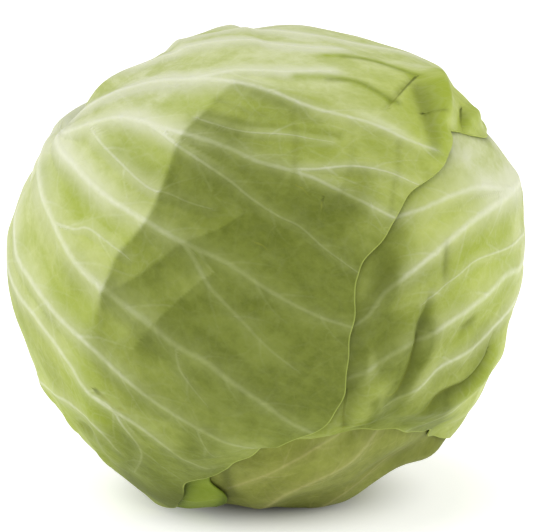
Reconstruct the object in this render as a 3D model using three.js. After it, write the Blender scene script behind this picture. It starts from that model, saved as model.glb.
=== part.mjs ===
// A head of green cabbage, cut from its root and lying on its side.
//
// Millimetres, +Z up. The origin is on the surface that the head rests on, under its middle.
// The head grew from the inside out, and it is built that way: a dense heart, the cut stalk
// that stands out of it, and six wrapper leaves laid one over another round both.
//
// The stalk points back and a little up, so the leaf tips meet low down at the front.
// A place on the head is a direction from its centre. Polar is the angle from the stalk,
// turn is the angle round the stalk, 0 at the top and 90 at the right seen from the front.
//
// Each leaf is drawn flat, in millimetres, on a chart: x along its midrib towards the tip,
// y across it, 0,0 at polar 95 on the leaf's own turn. The chart is then laid on the head,
// so that every length from 0,0 stays true.

import * as THREE from 'three';

// Driving dimensions, in millimetres and degrees
const HEART_HALF = new THREE.Vector3(79.3, 76.6, 74.6);
const HEAD_CENTRE = new THREE.Vector3(0.9, 0.4, 79.1);
const APEX_DIP = 28.3;
const APEX_TURN = 17.1;
const BALL_RADIUS = 87;
const CHART_POLAR = 95;
const TINY = 1e-9;

const BLADE = 1.0;
const CLEARANCE = 1.2;
const DRAPE = 46;
const BARE_FROM = 12;
const RIDGE_HEIGHT = 1.5;
const RIDGE_START = 0.125;
const VEIN_BOW = 0.1;
const RIB_HEIGHT = 5.2;
const RIB_TIP_HEIGHT = 0.5;
const RIB_HALF_WIDTH = 8;
const RIB_TIP_HALF_WIDTH = 1.5;
const RIB_CROWN = 0.25;
const RIB_HULL = 13;
const LEAF_BASE_X = -125;
const RUFFLES = 14;
const RUFFLE_DEPTH = 0.25;
const FLARE_STEEPNESS = 9;

const STEM_PLATE_POLAR = 13;
const STEM_DIMPLE = 7;
const STEM_DIMPLE_REACH = 30;
const STALK_RADIUS = 15;
const STALK_LENGTH = 23;
const TOUCH_GAP = 0.35;

const FLAT_DEPTH = 72.5;
const FLAT_SOFTNESS = 2.5;
const UNDERSIDE = -0.2;
const FOOT_LEAF = 'leaf_4';

// Colours, as three.js reads them
const LEAF_GREEN = 0x9fb45a;
const SHADED_LEAF_GREEN = 0x8fa84c;
const INNER_LEAF_GREEN = 0xb9c97c;
const HEART_GREEN = 0xd3dba0;
const STALK_CREAM = 0xe4e2c0;

// Gentle swellings and hollows of the whole head: a direction as turn from the front
// towards the right and height above the level, both in degrees, then rise and reach.
const FORM = [
  { aim: [48, 46], rise: 2.5, reach: 30 },
  { aim: [76, 24], rise: 2.0, reach: 28 },
  { aim: [66, -30], rise: -4.0, reach: 36 },
  { aim: [-76, -16], rise: -2.0, reach: 34 },
  { aim: [-60, 62], rise: -2.0, reach: 28 },
  { aim: [-44, -46], rise: 1.5, reach: 26 },
];

// Where the veins start on the midrib, as a share of its length from the base, where each
// reaches the margin, in degrees round the chart from the tip, and 1 where it stands proud.
const VEIN_FAN = [
  [0.00, 172, 0], [0.02, 161, 0], [0.04, 150, 1], [0.06, 139, 0], [0.08, 128, 1],
  [0.11, 117, 0], [0.14, 106, 1], [0.17, 99, 0], [0.20, 92, 1], [0.235, 84, 0],
  [0.27, 77, 1], [0.30, 65, 0], [0.33, 54, 1], [0.38, 42, 0], [0.43, 30, 1],
  [0.50, 23, 0], [0.58, 16, 1], [0.66, 11, 0], [0.75, 7, 0], [0.84, 4, 0],
  [0.92, 2, 0], [1.00, 0, 0],
];
const STEPS_OUTER = [0, 0.05, 0.14, 0.24, 0.34, 0.44, 0.54, 0.64, 0.74, 0.84, 0.93, 1];
const STEPS_INNER = [0, 0.05, 0.15, 0.27, 0.39, 0.51, 0.63, 0.75, 0.87, 1];

// The wrapper leaves from the innermost out. Each outline runs once round the leaf.
// Ease is the room that a leaf's own bagginess adds to the clearance under it.
// Flares lift a stretch of free margin: chart angle, half its spread, and rise.
// Creases are ridges of a buckled blade: from x,y to x,y, rise and half width.
const LEAVES = [
  {
    name: 'leaf_6', turn: 122, ease: 0.5, colour: INNER_LEAF_GREEN, steps: STEPS_INNER,
    flares: [],
    creases: [],
    outline: [
      [118, 0], [110, 45], [84, 84], [40, 108], [-10, 112], [-60, 94], [-97, 64], [-119, 30],
      [-125, 0], [-119, -30], [-97, -64], [-60, -94], [-10, -112], [40, -108], [84, -84],
      [110, -45],
    ],
  },
  {
    name: 'leaf_5', turn: -15, ease: 0.5, colour: INNER_LEAF_GREEN, steps: STEPS_INNER,
    flares: [],
    creases: [],
    outline: [
      [122, 0], [112, 48], [86, 88], [40, 112], [-10, 114], [-60, 96], [-97, 64], [-119, 30],
      [-125, 0], [-119, -30], [-97, -64], [-60, -96], [-10, -114], [40, -112], [86, -88],
      [112, -48],
    ],
  },
  {
    name: 'leaf_4', turn: 196, ease: 0.3, colour: SHADED_LEAF_GREEN, steps: STEPS_OUTER,
    flares: [],
    creases: [
      { from: [76, 6], to: [114, -8], rise: 2.0, width: 14 },
      { from: [84, -52], to: [80, -82], rise: 3.0, width: 12 },
    ],
    outline: [
      [132, 0], [124, 40], [104, 72], [70, 96], [20, 108], [-40, 100], [-92, 70], [-119, 32],
      [-125, 0], [-119, -32], [-92, -74], [-40, -110], [20, -126], [70, -122], [104, -92],
      [126, -48],
    ],
  },
  {
    name: 'leaf_3', turn: 240, ease: 0.1, colour: LEAF_GREEN, steps: STEPS_OUTER,
    flares: [{ at: -28, spread: 20, rise: 1.0 }],
    creases: [],
    outline: [
      [92, 0], [84, 36], [52, 70], [0, 84], [-50, 78], [-94, 56], [-119, 28], [-125, 0],
      [-119, -26], [-96, -40], [-50, -44], [-8, -43], [22, -40], [44, -38], [59, -40],
      [73, -31], [84, -14],
    ],
  },
  {
    name: 'leaf_2', turn: 66, ease: 0.5, colour: LEAF_GREEN, steps: STEPS_OUTER,
    flares: [{ at: 40, spread: 24, rise: 3.5 }],
    creases: [
      { from: [56, 22], to: [98, 6], rise: 2.6, width: 9 },
      { from: [70, 40], to: [104, 20], rise: 2.2, width: 8 },
      { from: [100, -26], to: [122, -4], rise: 2.2, width: 7 },
    ],
    outline: [
      [158, 0], [148, 14], [133, 14], [118, 18], [111, 24], [85, 46], [65, 62], [30, 90],
      [-10, 105], [-60, 100], [-96, 72], [-119, 36], [-125, 0], [-119, -36], [-92, -80],
      [-50, -120], [0, -150], [60, -135], [110, -110], [135, -80], [152, -40],
    ],
  },
  {
    name: 'leaf_1', turn: -67, ease: 0.8, colour: LEAF_GREEN, steps: STEPS_OUTER,
    flares: [
      { at: -58, spread: 34, rise: 1.0 },
      { at: 100, spread: 24, rise: 2.0 },
    ],
    creases: [
      { from: [-40, 152], to: [30, 146], rise: 4.0, width: 13 },
    ],
    outline: [
      [122, 0], [120, 26], [109, 44], [103, 54], [96, 68], [82, 96], [77, 104], [56, 131],
      [33, 151], [16, 168], [-8, 180], [-36, 170], [-66, 138], [-95, 90], [-118, 42], [-125, 0],
      [-118, -40], [-90, -76], [-45, -99], [0, -104], [40, -102], [59, -97], [71, -100],
      [88, -76], [96, -55], [101, -47], [115, -18], [122, -6],
    ],
  },
];

// The heart's skin: leaves that wind round it, the height of the step at their margins, and
// the columns across each leaf, as degrees from its margin and share of that height.
const HEART_LEAVES = 5;
const HEART_RINGS = 15;
const HEART_LAST_POLAR = 172;
const HEART_TWIST = 1.1;
const HEART_STEP = 1.6;
const HEART_COLUMNS = [[0, 0], [3, 1], [16, 0.82], [31, 0.6], [46, 0.38], [60, 0.16]];

// The stalk's outline, as shares of its radius and its length
const STALK_SIDES = 20;
const STALK_PROFILE = [
  [0, 0], [0.93, 0], [1.0, 0.12], [0.96, 0.3], [1.03, 0.42], [0.97, 0.58], [1.02, 0.72],
  [0.98, 0.94], [0.9, 1.0], [0, 0.97],
];

const degrees = THREE.MathUtils.degToRad;

function smooth(from, to, value) {
  return THREE.MathUtils.smoothstep(value, from, to);
}

// The head's own axes: the apex where the leaf tips meet, the stalk opposite, and two across
const apex = new THREE.Vector3(
  Math.sin(degrees(APEX_TURN)) * Math.cos(degrees(APEX_DIP)),
  -Math.cos(degrees(APEX_TURN)) * Math.cos(degrees(APEX_DIP)),
  -Math.sin(degrees(APEX_DIP)),
);
const stem = apex.clone().negate();
const upward = new THREE.Vector3(0, 0, 1).addScaledVector(apex, -apex.z).normalize();
const rightward = new THREE.Vector3().crossVectors(upward, apex);

// The unit direction at a polar angle from the stalk and a turn round it
function fromStem(polar, turn) {
  const across = upward.clone().multiplyScalar(Math.cos(degrees(turn)));
  across.addScaledVector(rightward, Math.sin(degrees(turn)));
  return stem.clone().multiplyScalar(Math.cos(degrees(polar)))
    .addScaledVector(across, Math.sin(degrees(polar)));
}

// The unit direction at a turn from the front and a height above the level
function fromFront([turn, height]) {
  const level = Math.cos(degrees(height));
  return new THREE.Vector3(
    Math.sin(degrees(turn)) * level,
    -Math.cos(degrees(turn)) * level,
    Math.sin(degrees(height)),
  );
}

// Distance from the head's centre to the heart's skin: an ellipsoid with the gentle form of
// the head, flattened underneath, and level across the foot of the stalk.
function heartSkin(direction) {
  let radius = 1 / direction.clone().divide(HEART_HALF).length();
  for (const { aim, rise, reach } of FORM) {
    const away = BALL_RADIUS * direction.angleTo(fromFront(aim)) / reach;
    radius += rise * Math.exp(-away * away);
  }
  const toStem = BALL_RADIUS * direction.angleTo(stem);
  radius -= STEM_DIMPLE * Math.exp(-((toStem / STEM_DIMPLE_REACH) ** 2));
  if (direction.z < UNDERSIDE) {
    const floor = FLAT_DEPTH / -direction.z;
    const mix = THREE.MathUtils.clamp(0.5 + (radius - floor) / (2 * FLAT_SOFTNESS), 0, 1);
    radius += (floor - radius) * mix - FLAT_SOFTNESS * mix * (1 - mix);
  }
  return radius;
}

// A leaf's chart: its middle on the head and the directions of x and y there
function chartOf(leaf) {
  const turn = degrees(leaf.turn);
  const side = rightward.clone().multiplyScalar(Math.cos(turn));
  side.addScaledVector(upward, -Math.sin(turn));
  return {
    middle: fromStem(CHART_POLAR, leaf.turn),
    tipward: fromStem(CHART_POLAR + 90, leaf.turn),
    side,
  };
}

// The unit direction of a point on a leaf's chart
function onHead({ chart }, x, y) {
  const length = Math.max(Math.hypot(x, y), TINY);
  const angle = length / BALL_RADIUS;
  return chart.middle.clone().multiplyScalar(Math.cos(angle))
    .addScaledVector(chart.tipward, Math.sin(angle) * x / length)
    .addScaledVector(chart.side, Math.sin(angle) * y / length)
    .normalize();
}

// The point on a leaf's chart that a direction falls on
function onChart({ chart }, direction) {
  const length = BALL_RADIUS * chart.middle.angleTo(direction);
  const along = direction.dot(chart.tipward);
  const across = direction.dot(chart.side);
  const scale = length / Math.max(Math.hypot(along, across), TINY);
  return [along * scale, across * scale];
}

// Knots of a leaf's reach: the outline's points as angle and distance from the chart's 0,0,
// with one more turn of them before and after so that a curve runs on through the ends.
function reachKnots(outline) {
  const around = outline
    .map(([x, y]) => [Math.atan2(y, x), Math.hypot(x, y)])
    .sort((first, second) => first[0] - second[0]);
  const before = around.map(([angle, reach]) => [angle - 2 * Math.PI, reach]);
  const after = around.map(([angle, reach]) => [angle + 2 * Math.PI, reach]);
  return [...before, ...around, ...after];
}

// How far the leaf reaches at a chart angle: a smooth curve through the outline's points
function reachAt({ knots }, angle) {
  const index = knots.findIndex(([knotAngle]) => knotAngle >= angle) - 1;
  const [[a0, r0], [a1, r1], [a2, r2], [a3, r3]] = knots.slice(index - 1, index + 3);
  const span = a2 - a1;
  const share = (angle - a1) / span;
  const leave = (r2 - r0) / (a2 - a0) * span;
  const arrive = (r3 - r1) / (a3 - a1) * span;
  const square = share * share;
  const cube = square * share;
  return (2 * cube - 3 * square + 1) * r1 + (cube - 2 * square + share) * leave
    + (3 * square - 2 * cube) * r2 + (cube - square) * arrive;
}

// 1 where the leaf lies, falling to 0 over a fade beyond its margin
function cover(leaf, direction, fade) {
  const [x, y] = onChart(leaf, direction);
  const beyond = Math.hypot(x, y) - reachAt(leaf, Math.atan2(y, x));
  return 1 - smooth(0, fade, beyond);
}

// Share of the midrib's length from the base
function alongRib(x, tipX) {
  return THREE.MathUtils.clamp((x - LEAF_BASE_X) / (tipX - LEAF_BASE_X), 0, 1);
}

// How far the midrib stands out of the blade, tall and broad at the base, fading to the tip.
// A spread widens it, for the leaves above, which can't follow it closely.
function ribRise({ tipX }, x, y, spread) {
  const left = 1 - alongRib(x, tipX);
  const halfWidth = RIB_HALF_WIDTH * left ** 3 + RIB_TIP_HALF_WIDTH + spread;
  const height = RIB_HEIGHT * left ** 4 + RIB_TIP_HEIGHT * left;
  return height * (1 - smooth(RIB_CROWN * halfWidth + spread / 2, halfWidth, Math.abs(y)));
}

// Distance from the head's centre to the bed that a leaf lies on: the heart and every leaf
// under it, each with its midrib, and the clearance between them.
function bedUnder(order, direction) {
  let radius = heartSkin(direction) + CLEARANCE + HEART_STEP + LEAVES[order].ease;
  for (const leaf of LEAVES.slice(0, order)) {
    const share = cover(leaf, direction, DRAPE);
    if (share > 0) {
      const [x, y] = onChart(leaf, direction);
      radius += share * (leaf.ease + BLADE + CLEARANCE + ribRise(leaf, x, y, RIB_HULL));
    }
  }
  return radius;
}

// 1 where nothing lies over the leaf, 0 under another leaf
function bareness(order, direction) {
  return LEAVES.slice(order + 1)
    .reduce((bare, leaf) => bare * (1 - cover(leaf, direction, BARE_FROM)), 1);
}

function distanceToLine(x, y, [startX, startY], [endX, endY]) {
  const runX = endX - startX;
  const runY = endY - startY;
  const along = ((x - startX) * runX + (y - startY) * runY) / (runX ** 2 + runY ** 2);
  const share = THREE.MathUtils.clamp(along, 0, 1);
  return Math.hypot(x - startX - share * runX, y - startY - share * runY);
}

// Degrees between two chart angles, the short way round
function apart(first, second) {
  return Math.abs(THREE.MathUtils.euclideanModulo(first - second + 180, 360) - 180);
}

// How far the blade lifts off its bed, by its flares at the margin and by its creases
function liftAt(leaf, x, y) {
  const angle = Math.atan2(y, x);
  const out = Math.hypot(x, y) / reachAt(leaf, angle);
  let lift = 0;
  for (const { at, spread, rise } of leaf.flares) {
    const round = apart(THREE.MathUtils.radToDeg(angle), at) / spread;
    const wave = 1 - RUFFLE_DEPTH * (1 - Math.sin(RUFFLES * angle));
    lift += rise * wave * out ** FLARE_STEEPNESS * Math.exp(-round * round);
  }
  for (const { from, to, rise, width } of leaf.creases) {
    const away = distanceToLine(x, y, from, to) / width;
    lift += rise * Math.exp(-away * away);
  }
  return lift;
}

// A closed body from its points and its triangles, which are given as indices of the points
function bodyFrom(points, faces) {
  const geometry = new THREE.BufferGeometry();
  const places = points.flatMap((point) => point.toArray());
  geometry.setAttribute('position', new THREE.Float32BufferAttribute(places, 3));
  geometry.setIndex(faces.flat());
  geometry.computeVertexNormals();
  return geometry;
}

// The chart point on one vein line: a shallow curve from the midrib to the margin
function veinPoint(leaf, [root, angle], sideSign, step) {
  const rootX = LEAF_BASE_X + root * (leaf.tipX - LEAF_BASE_X);
  const turn = sideSign * degrees(angle);
  const reach = reachAt(leaf, turn);
  const endX = reach * Math.cos(turn);
  const endY = reach * Math.sin(turn);
  const bow = VEIN_BOW * root * (1 - root);
  const middleX = (rootX + endX) / 2 - bow * Math.abs(endY);
  const middleY = endY / 2 + bow * sideSign * (endX - rootX);
  const back = 1 - step;
  return [
    back * back * rootX + 2 * back * step * middleX + step * step * endX,
    2 * back * step * middleY + step * step * endY,
  ];
}

// A thin blade as a closed body: an outer and an inner face split into triangles alike, and a
// wall between them along the loop of points round the margin.
function bladeBody(outer, inner, outerFaces, loop) {
  const count = outer.length;
  const innerFaces = outerFaces.map(([a, b, c]) => [a + count, c + count, b + count]);
  const wall = loop.flatMap((a, index) => {
    const b = loop[(index + 1) % loop.length];
    return [[a, a + count, b + count], [a, b + count, b]];
  });
  return bodyFrom([...outer, ...inner], [...outerFaces, ...innerFaces, ...wall]);
}

// A wrapper leaf on its bed. Its outer face carries the midrib and the veins, and its lines
// run along the veins from the midrib to the margin, so that the ridges stay sharp.
function leafBody(order) {
  const leaf = LEAVES[order];
  const outer = [];
  const inner = [];
  const outerFaces = [];
  const rims = [];
  const isFoot = leaf.name === FOOT_LEAF;

  function addPoint(x, y, ridge) {
    const direction = onHead(leaf, x, y);
    const bare = bareness(order, direction);
    const seat = bedUnder(order, direction) + bare * liftAt(leaf, x, y);
    const proud = BLADE + ribRise(leaf, x, y, 0) + bare * ridge * RIDGE_HEIGHT;
    const top = direction.clone().multiplyScalar(seat + proud).add(HEAD_CENTRE);
    if (isFoot) top.z = Math.max(top.z, 0);
    outer.push(top);
    inner.push(direction.clone().multiplyScalar(seat).add(HEAD_CENTRE));
    return outer.length - 1;
  }

  const tip = addPoint(leaf.tipX, 0, 0);
  const spine = VEIN_FAN.slice(0, -1).map(([root]) => addPoint(
    LEAF_BASE_X + root * (leaf.tipX - LEAF_BASE_X),
    0,
    0,
  ));
  const bases = [];
  for (const sideSign of [1, -1]) {
    const lines = VEIN_FAN.slice(0, -1).map((vein, line) => {
      const ids = [spine[line]];
      for (const step of leaf.steps.slice(1)) {
        const [x, y] = veinPoint(leaf, vein, sideSign, step);
        const fade = Math.sqrt(1 - step) * Math.min(1, step / RIDGE_START);
        ids.push(addPoint(x, y, vein[2] * fade));
      }
      return ids;
    });
    const face = (a, b, c) => outerFaces.push(sideSign > 0 ? [a, b, c] : [a, c, b]);
    for (let line = 0; line + 1 < lines.length; line += 1) {
      for (let step = 0; step + 1 < leaf.steps.length; step += 1) {
        const [a, b] = [lines[line][step], lines[line + 1][step]];
        const [c, d] = [lines[line + 1][step + 1], lines[line][step + 1]];
        face(a, b, c);
        face(a, c, d);
      }
    }
    const last = lines[lines.length - 1];
    for (let step = 0; step + 1 < last.length; step += 1) {
      face(last[step], tip, last[step + 1]);
    }
    rims.push(lines.map((ids) => ids[ids.length - 1]));
    bases.push(lines[0].slice(0, -1));
  }

  const loop = [
    tip, ...rims[0].reverse(), ...bases[0].reverse(), ...bases[1].slice(1), ...rims[1],
  ];
  return bladeBody(outer, inner, outerFaces, loop);
}

// The heart: a dense ball of leaves. The free margins of its outermost leaves wind from the
// stalk to the apex as low steps, and its foot is level across the stalk.
function heartBody() {
  const points = [];
  const rows = [];
  const plate = heartSkin(stem) * Math.cos(degrees(STEM_PLATE_POLAR));
  for (let ring = 0; ring <= HEART_RINGS; ring += 1) {
    const polar = THREE.MathUtils.lerp(STEM_PLATE_POLAR, HEART_LAST_POLAR, ring / HEART_RINGS);
    const row = [];
    for (let leaf = 0; leaf < HEART_LEAVES; leaf += 1) {
      for (const [across, rise] of HEART_COLUMNS) {
        const turn = leaf * 360 / HEART_LEAVES + across + HEART_TWIST * polar;
        const direction = fromStem(polar, turn);
        const settle = Math.sqrt(Math.sin(degrees(polar)));
        const level = plate / Math.cos(degrees(STEM_PLATE_POLAR));
        const skin = ring === 0 ? level : heartSkin(direction) + HEART_STEP * rise * settle;
        row.push(points.push(direction.multiplyScalar(skin).add(HEAD_CENTRE)) - 1);
      }
    }
    rows.push(row);
  }
  const foot = points.push(stem.clone().multiplyScalar(plate).add(HEAD_CENTRE)) - 1;
  const crown = points.push(apex.clone().multiplyScalar(heartSkin(apex)).add(HEAD_CENTRE)) - 1;
  const faces = [];
  const columns = rows[0].length;
  for (let column = 0; column < columns; column += 1) {
    const next = (column + 1) % columns;
    faces.push([foot, rows[0][column], rows[0][next]]);
    for (let ring = 0; ring < HEART_RINGS; ring += 1) {
      const [a, b] = [rows[ring][column], rows[ring][next]];
      const [c, d] = [rows[ring + 1][next], rows[ring + 1][column]];
      faces.push([a, d, c], [a, c, b]);
    }
    faces.push([crown, rows[HEART_RINGS][next], rows[HEART_RINGS][column]]);
  }
  return bodyFrom(points, faces);
}

// The stalk: a short woody stub with the low rings that shed leaves leave round it
function stalkBody() {
  const plate = heartSkin(stem) * Math.cos(degrees(STEM_PLATE_POLAR));
  const profile = STALK_PROFILE.map(([out, along]) => (
    new THREE.Vector2(out * STALK_RADIUS, along * STALK_LENGTH)
  ));
  const geometry = new THREE.LatheGeometry(profile, STALK_SIDES);
  const upright = new THREE.Vector3(0, 1, 0);
  geometry.applyQuaternion(new THREE.Quaternion().setFromUnitVectors(upright, stem));
  const foot = stem.clone().multiplyScalar(plate + TOUCH_GAP).add(HEAD_CENTRE);
  geometry.translate(foot.x, foot.y, foot.z);
  return geometry;
}

// A named sub-part with its own material
function named(name, geometry, colour, roughness) {
  const material = new THREE.MeshStandardMaterial({ color: colour, roughness, metalness: 0 });
  const mesh = new THREE.Mesh(geometry, material);
  mesh.name = name;
  return mesh;
}

// What every leaf needs before any of them is built, because each lies on those under it
for (const leaf of LEAVES) {
  leaf.chart = chartOf(leaf);
  leaf.knots = reachKnots(leaf.outline);
  leaf.tipX = reachAt(leaf, 0);
}

const cabbage = new THREE.Group();
cabbage.add(named('heart', heartBody(), HEART_GREEN, 0.5));
cabbage.add(named('stalk', stalkBody(), STALK_CREAM, 0.7));
LEAVES.forEach((leaf, order) => {
  cabbage.add(named(leaf.name, leafBody(order), leaf.colour, 0.45));
});

export default cabbage;
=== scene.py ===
"""A head of green cabbage lying on its side, its stalk turned away and its leaf tips to the front.

The head is built from the inside out, as it grew: a heart, a cut stalk, and six wrapper leaves
laid one over another. A leaf is drawn flat on a chart of its own, x along its midrib towards the
tip and y across it, and the chart is laid on the head. Sizes are in millimetres and degrees, and
are the frame's own; MM turns them into Blender's metres when a mesh is made.
"""

import bpy
import numpy as np
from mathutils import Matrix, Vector


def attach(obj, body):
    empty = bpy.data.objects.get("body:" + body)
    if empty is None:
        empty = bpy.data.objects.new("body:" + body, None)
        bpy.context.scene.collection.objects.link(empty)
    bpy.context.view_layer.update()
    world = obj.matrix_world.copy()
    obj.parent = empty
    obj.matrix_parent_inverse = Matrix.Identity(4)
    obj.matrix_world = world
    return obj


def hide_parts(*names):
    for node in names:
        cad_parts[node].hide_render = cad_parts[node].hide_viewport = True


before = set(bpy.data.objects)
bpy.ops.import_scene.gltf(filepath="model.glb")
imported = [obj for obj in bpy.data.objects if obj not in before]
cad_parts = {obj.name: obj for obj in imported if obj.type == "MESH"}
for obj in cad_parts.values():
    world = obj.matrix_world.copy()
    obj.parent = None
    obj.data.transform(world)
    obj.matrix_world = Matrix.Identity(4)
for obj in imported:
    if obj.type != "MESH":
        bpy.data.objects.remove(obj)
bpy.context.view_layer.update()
MM = 0.001

# The head's form, as the frame has it
HEART_HALF = np.array([79.3, 76.6, 74.6])
HEAD_CENTRE = np.array([0.9, 0.4, 79.1])
APEX_DIP = np.radians(28.3)
APEX_TURN = np.radians(17.1)
BALL_RADIUS = 87.0
CHART_POLAR = 95.0
TINY = 1e-9

BLADE = 1.0
CLEARANCE = 1.2
DRAPE = 46.0
BARE_FROM = 12.0
RIB_HEIGHT = 5.2
RIB_TIP_HEIGHT = 0.5
RIB_HALF_WIDTH = 8.0
RIB_TIP_HALF_WIDTH = 1.5
RIB_CROWN = 0.25
RIB_HULL = 13.0
LEAF_BASE_X = -125.0
RUFFLES = 14
RUFFLE_DEPTH = 0.25
FLARE_STEEPNESS = 9

STEM_PLATE_POLAR = 13.0
STEM_DIMPLE = 7.0
STEM_DIMPLE_REACH = 30.0
STALK_RADIUS = 15.0
STALK_LENGTH = 23.0
TOUCH_GAP = 0.35
FLAT_DEPTH = 72.5
FLAT_SOFTNESS = 2.5
UNDERSIDE = -0.2
HEART_LEAVES = 5
HEART_LAST_POLAR = 172.0
HEART_TWIST = 1.1
HEART_STEP = 1.6
HEART_MARGIN = ([0, 3, 16, 31, 46, 60, 72], [0, 1, 0.82, 0.6, 0.38, 0.16, 0])
HEART_RINGS = 90
HEART_COLUMNS = 200
STALK_COLUMNS = 120

# The stalk from its foot over the cut face to its middle: shares of its length and its radius
STALK_PROFILE = [
    (0, 0), (0.004, 0.93), (0.03, 0.97), (0.1, 0.99), (0.2, 1), (0.3, 1), (0.4, 1), (0.5, 1), (0.6, 1),
    (0.7, 1), (0.8, 1), (0.9, 1), (0.96, 0.99), (0.99, 0.965), (1.0, 0.93), (1.0, 0.88), (0.985, 0.75),
    (0.975, 0.55), (0.97, 0.3), (0.968, 0.1), (0.968, 0),
]
CUT_FROM_ROW = 13

# Swellings and hollows of the head: turn from the front, height, rise and reach
FORM = [
    (48, 46, 2.5, 30),
    (76, 24, 2.0, 28),
    (66, -30, -4.0, 36),
    (-76, -16, -2.0, 34),
    (-60, 62, -2.0, 28),
    (-44, -46, 1.5, 26),
]

# Slight further swellings and hollows, which the plain solids leave out
FINE_FORM = [
    (80, -10, -3.0, 18),
    (-40, -58, 2.8, 16),
    (-56, 44, 2.5, 20),
    (-58, -60, 3.4, 10),
    (-68, -50, -1.3, 6),
    (-20, -72, -2.0, 9),
    (20, -72, 1.4, 8),
    (43, -66, 3.5, 12),
    (62, -56, -6.6, 8),
    (47, -49, -2.0, 9),
    (83, -60, -3.5, 10),
    (71, -43, 2.6, 8),
    (74, -38, 2.6, 8),
    (78, -28, 0.7, 10),
    (80, -18, -1.2, 8),
    (89, 21, 1.8, 12),
    (91, 29, 0.3, 9),
    (97, 48, 2.2, 6),
    (110, 69, 1.2, 13),
    (-125, 77, -3.6, 12),
    (-97, 49, 2.0, 9),
    (-92, 36, -2.0, 6),
    (-89, 20, -2.3, 8),
    (-83, -6, 0.8, 16),
    (-79, -24, 0.6, 10),
]

# Vein fan of a plain leaf: root along the midrib and the chart angle where it meets the margin
VEIN_FAN = [
    (0.04, 150), (0.08, 128), (0.14, 106), (0.20, 92), (0.27, 77), (0.33, 54), (0.43, 30), (0.58, 16),
]
VEIN_BOW = 0.1

# The grid of a blade: how far rows close up to the tip, and how much coarser the inner face is
TIP_CROWDING = 0.14
COARSE = 3

# The margin: height and number of its waves, where the blade thins and how it settles
MARGIN_WAVE = 0.5
MARGIN_WAVES = 23
MARGIN_RIPPLE = 0.35
MARGIN_RIPPLES = 41
MARGIN_BLADE = 0.55
MARGIN_THIN = 9.0
MARGIN_TUCK = 16.0
SETTLED_TUCK = 26.0
MARGIN_EASE = 0.6
MARGIN_GAP = 0.35
RIM_OUT = 0.25
RIM_LEVEL = 0.45
EDGE_SLOPE = 0.35
HELD_BASE = (-112, -84)
HELD_LIFT = (1.6, 3.6)
SHOWN_FROM = 6.0
INNER_GAP = 0.05

# Relief of the outer face: heights, and reaches as a share of a vein's half width and beyond it
VEIN_RIDGE = 0.5
VEIN_RIDGE_SHARE, VEIN_RIDGE_BEYOND = 1.35, 0.6
VEIN_SWELL = 0.8
VEIN_SWELL_SHARE, VEIN_SWELL_BEYOND = 2.0, 2.0
TWIG_RIDGE = 0.12
TWIG_REACH = 0.9
UNEVEN, UNEVEN_LENGTH = 0.55, 38
FINE_UNEVEN, FINE_UNEVEN_LENGTH = 0.22, 15
FOLD_STEP = 2.0
TONE_STEP = 3.0

# Camera and floor, in metres
AIM = (0.0, 0.0, 0.0805)
VIEW_HEIGHT = np.radians(12.0)
VIEW_DISTANCE = 1.0
FOCAL_PIXELS = 2871
IMAGE_WIDTH = 533
FLOOR_HALF = 6.0


def smooth(low, high, value):
    """0 up to low, 1 from high, and 3t^2 - 2t^3 of the share t between them."""
    share = np.clip((value - low) / (high - low), 0, 1)
    return share * share * (3 - 2 * share)


def bell(value, width):
    """1 at 0 and falling off to both sides: e to the power of -(value / width)^2."""
    return np.exp(-(value / width) ** 2)


def hermite(t, start, end, leave, arrive):
    """The cubic from start at t 0 to end at t 1 with the slopes leave and arrive there."""
    return (
        (2 * t**3 - 3 * t**2 + 1) * start + (t**3 - 2 * t**2 + t) * leave
        + (3 * t**2 - 2 * t**3) * end + (t**3 - t**2) * arrive
    )


def unit(vectors):
    """The vectors at length 1."""
    return vectors / np.linalg.norm(vectors, axis=-1, keepdims=True)


def angle_between(directions, direction):
    """The angle from each unit direction to one unit direction, in radians."""
    return np.arccos(np.clip(directions @ direction, -1, 1))


APEX = np.array([
    np.sin(APEX_TURN) * np.cos(APEX_DIP),
    -np.cos(APEX_TURN) * np.cos(APEX_DIP),
    -np.sin(APEX_DIP),
])
STEM = -APEX
UPWARD = unit(np.array([0.0, 0.0, 1.0]) - APEX * APEX[2])
RIGHTWARD = np.cross(UPWARD, APEX)


def from_stem(polar, turn):
    """The direction at a polar angle from the stalk and a turn round it: cosine along the stalk,
    sine across it."""
    polar = np.radians(polar)[..., None]
    turn = np.radians(turn)[..., None]
    across = UPWARD * np.cos(turn) + RIGHTWARD * np.sin(turn)
    return STEM * np.cos(polar) + across * np.sin(polar)


def from_front(turn, height):
    """The direction at a turn from the front towards the right and a height above the level."""
    turn, height = np.radians([turn, height])
    level = np.cos(height)
    return np.array([np.sin(turn) * level, -np.cos(turn) * level, np.sin(height)])


def heart_skin(directions):
    """Distance from the centre to the heart's skin: an ellipsoid, plus a bell for each swelling,
    less a bell at the stalk, and softly cut off by a level plane underneath."""
    radius = 1 / np.linalg.norm(directions / HEART_HALF, axis=-1)
    for turn, height, rise, reach in FORM + FINE_FORM:
        away = BALL_RADIUS * angle_between(directions, from_front(turn, height))
        radius = radius + rise * bell(away, reach)
    to_stem = BALL_RADIUS * angle_between(directions, STEM)
    radius = radius - STEM_DIMPLE * bell(to_stem, STEM_DIMPLE_REACH)
    floor = FLAT_DEPTH / np.maximum(-directions[..., 2], -UNDERSIDE)
    mix = np.clip(0.5 + (radius - floor) / (2 * FLAT_SOFTNESS), 0, 1)
    mix = np.where(directions[..., 2] < UNDERSIDE, mix, 0)
    return radius + (floor - radius) * mix - FLAT_SOFTNESS * mix * (1 - mix)


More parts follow.
